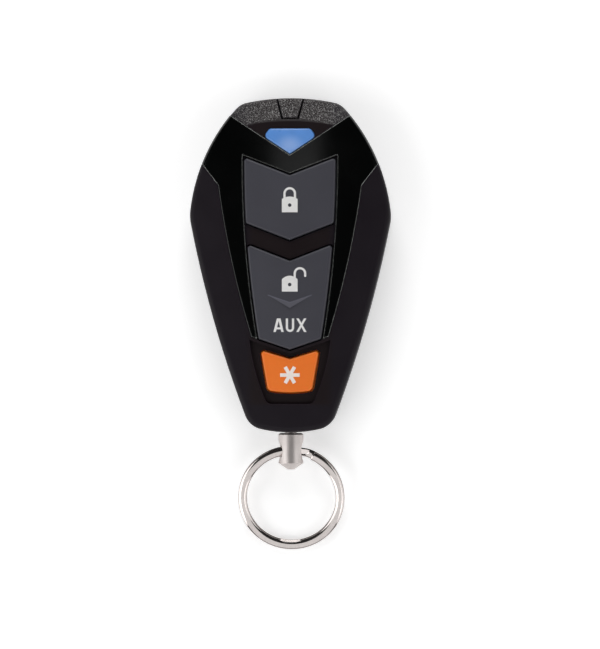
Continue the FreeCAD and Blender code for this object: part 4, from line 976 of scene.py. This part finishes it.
class RemoteBoardFinish(bpy.types.Operator):
    """Finish the circuit board and the moulded pieces on it"""

    bl_idname = "remote.finish_board"
    bl_label = "Finish Board Pieces"

    def execute(self, context):
        dress(board_material(), "circuit_board")
        dress(chip_material(), "microcontroller")
        dress(components_material(), "chip_components")
        bases, plungers = (
            [f"{place}_{piece}" for place in ("lock", "unlock", "aux", "star")]
            for piece in ("switch_base", "plunger")
        )
        black, white = (0.012, 0.012, 0.012), (0.56, 0.56, 0.53)
        nylon, clear = (0.6, 0.6, 0.55), (0.7, 0.74, 0.78)
        coated = {"rub": 0.1, "Coat_Weight": 0.5}
        for names, look, base, gain, rough, scale, depth, others in (
            (bases, "switch_black", black, 1.3, (0.4, 0.5), 8000.0, 0.004, {}),
            (plungers, "plunger_white", white, 0.92, (0.35, 0.45), 8000.0, 0.003, {"rub": 0.1}),
            (["cell_gasket"], "gasket_nylon", nylon, 0.9, (0.4, 0.5), 6000.0, 0.004, {"rub": 0.1}),
            (["indicator_led"], "led_epoxy", clear, 0.9, (0.1, 0.2), 3000.0, 0.002, coated),
        ):
            dress(moulded(look, base, gain, rough, scale, depth, **others), *names)
        return {"FINISHED"}


class RemoteStage(bpy.types.Operator):
    """Lay the floor, hang the panels and place the camera"""

    bl_idname = "remote.set_stage"
    bl_label = "Set the Stage"

    def execute(self, context):
        stage = context.scene.remote_stage
        self.floor(stage)
        panels = (
            ("panel_left", (-430, -190, 300), (600, 560), stage.left_power),
            ("panel_right", (430, -190, 300), (600, 560), stage.right_power),
            ("panel_cap", (0, 450, 260), (300, 480), stage.top_power),
            ("panel_foot", (0, -420, 400), (560, 560), stage.foot_power),
            ("panel_over", (0, 100, 700), (150, 110), stage.over_power),
        )
        for name, place, (wide, tall), power in panels:
            lamp = bpy.data.lights.new(name, "AREA")
            lamp.shape = "RECTANGLE"
            lamp.size, lamp.size_y = wide * MM, tall * MM
            lamp.energy = power
            holder = bpy.data.objects.new(name, lamp)
            spot = Vector(place) * MM
            holder.location = spot
            holder.rotation_euler = (-spot).to_track_quat("-Z", "Y").to_euler()
            holder.visible_camera = False
            context.scene.collection.objects.link(holder)
        self.sky(context.scene, stage.sky)
        self.camera(context.scene, stage)
        context.scene.view_settings.view_transform = "Standard"
        return {"FINISHED"}

    def floor(self, stage):
        """A pale disc: rings of points, each a circle, with one point in the middle."""
        inner, outer, rings, corners = 0.05, 6, 12, 96
        glow_start, glow_whole, glow_under = 0.06, 0.3, 0.38
        radii = np.geomspace(inner, outer, rings)
        turn = np.linspace(0, 2 * math.pi, corners, endpoint=False)
        flat = np.stack([np.outer(radii, np.cos(turn)), np.outer(radii, np.sin(turn))], axis=-1)
        points = np.concatenate([flat.reshape(-1, 2), [(0, 0)]])
        points = np.hstack([points, np.full((len(points), 1), -stage.floor_drop)])
        index = ringed(rings, corners)
        middle = np.full(corners, len(points) - 1)
        fan = np.stack([middle, index[0, :-1], index[0, 1:]], axis=-1)
        mesh = bpy.data.meshes.new("pale_floor")
        mesh.from_pydata(points.tolist(), [], quads(index) + fan.tolist())
        material, tree, shader = new_material("floor_white", Roughness=0.9)
        tree.nodes.remove(shader)
        diffuse = add(tree, "ShaderNodeBsdfDiffuse", {"Color": (0.93, 0.93, 0.93, 1)})
        path = add(tree, "ShaderNodeLightPath").outputs
        seen = reckoned(tree, "ADD", path["Is Camera Ray"], path["Is Glossy Ray"])
        seen = reckoned(tree, "MINIMUM", reckoned(tree, "ADD", seen, path["Is Transmission Ray"]), 1.0)
        reach = vectors(tree, "LENGTH", place_of(tree))["Value"]
        far = ranged(tree, reach, glow_start, glow_whole, glow_under, 1.0)
        glow = add(tree, "ShaderNodeEmission", {"Strength": times(tree, seen, far)})
        both = add(tree, "ShaderNodeAddShader", {0: diffuse.outputs[0], 1: glow.outputs[0]})
        fill(tree, tree.nodes["Material Output"], {"Surface": both.outputs[0]})
        mesh.materials.append(material)
        piece = bpy.data.objects.new("pale_floor", mesh)
        bpy.context.scene.collection.objects.link(piece)

    def sky(self, scene, strength):
        """An even light all round, which the camera sees as white."""
        world = bpy.data.worlds.new("studio")
        world.use_nodes = True
        tree = world.node_tree
        seen = add(tree, "ShaderNodeLightPath").outputs["Is Camera Ray"]
        level = reckoned(tree, "MAXIMUM", seen, strength)
        fill(tree, tree.nodes["Background"], {"Strength": level, "Color": (1, 1, 1, 1)})
        scene.world = world

    def camera(self, scene, stage):
        """Look down at the remote with the body's length upright in the picture."""
        target = Vector((1.78, -11.08, 8)) * MM
        back = Vector((math.sin(stage.lean), 0, math.cos(stage.lean)))
        side = Vector((0, 1, 0)).cross(back).normalized()
        upright = back.cross(side)
        data = bpy.data.cameras.new("photo_camera")
        data.sensor_fit = "AUTO"
        data.sensor_width = 36
        data.lens = stage.lens
        data.clip_start = 0.01
        data.clip_end = 50
        camera = bpy.data.objects.new("photo_camera", data)
        turn = Matrix((side, upright, back)).transposed().to_4x4()
        camera.matrix_world = Matrix.Translation(target + back * stage.distance) @ turn
        scene.collection.objects.link(camera)
        scene.camera = camera


class RemotePanel(bpy.types.Panel):
    """The steps that dress the remote"""

    bl_idname = "VIEW3D_PT_remote"
    bl_label = "Car Alarm Remote"
    bl_space_type = "VIEW_3D"
    bl_region_type = "UI"
    bl_category = "Remote"

    def draw(self, context):
        for step in STEPS:
            self.layout.operator(step.bl_idname)


SETTINGS = {
    "remote_face": RemoteFaceSettings,
    "remote_print": RemotePrintSettings,
    "remote_ring": RemoteRingSettings,
    "remote_finish": RemoteFinishSettings,
    "remote_stage": RemoteStageSettings,
}
STEPS = (
    RemoteStage,
    RemoteCaseFinish,
    RemoteKeyFinish,
    RemoteMetalFinish,
    RemoteBoardFinish,
    RemotePrint,
    RemoteRing,
)


def register():
    for settings in SETTINGS.values():
        bpy.utils.register_class(settings)
    for step in STEPS:
        bpy.utils.register_class(step)
    bpy.utils.register_class(RemotePanel)
    for name, settings in SETTINGS.items():
        setattr(bpy.types.Scene, name, PointerProperty(type=settings))


def unregister():
    for name in SETTINGS:
        delattr(bpy.types.Scene, name)
    bpy.utils.unregister_class(RemotePanel)
    for step in reversed(STEPS):
        bpy.utils.unregister_class(step)
    for settings in reversed(list(SETTINGS.values())):
        bpy.utils.unregister_class(settings)


def main():
    register()
    for step in STEPS:
        group, name = step.bl_idname.split(".")
        getattr(getattr(bpy.ops, group), name)()


if __name__ == "__main__":
    main()
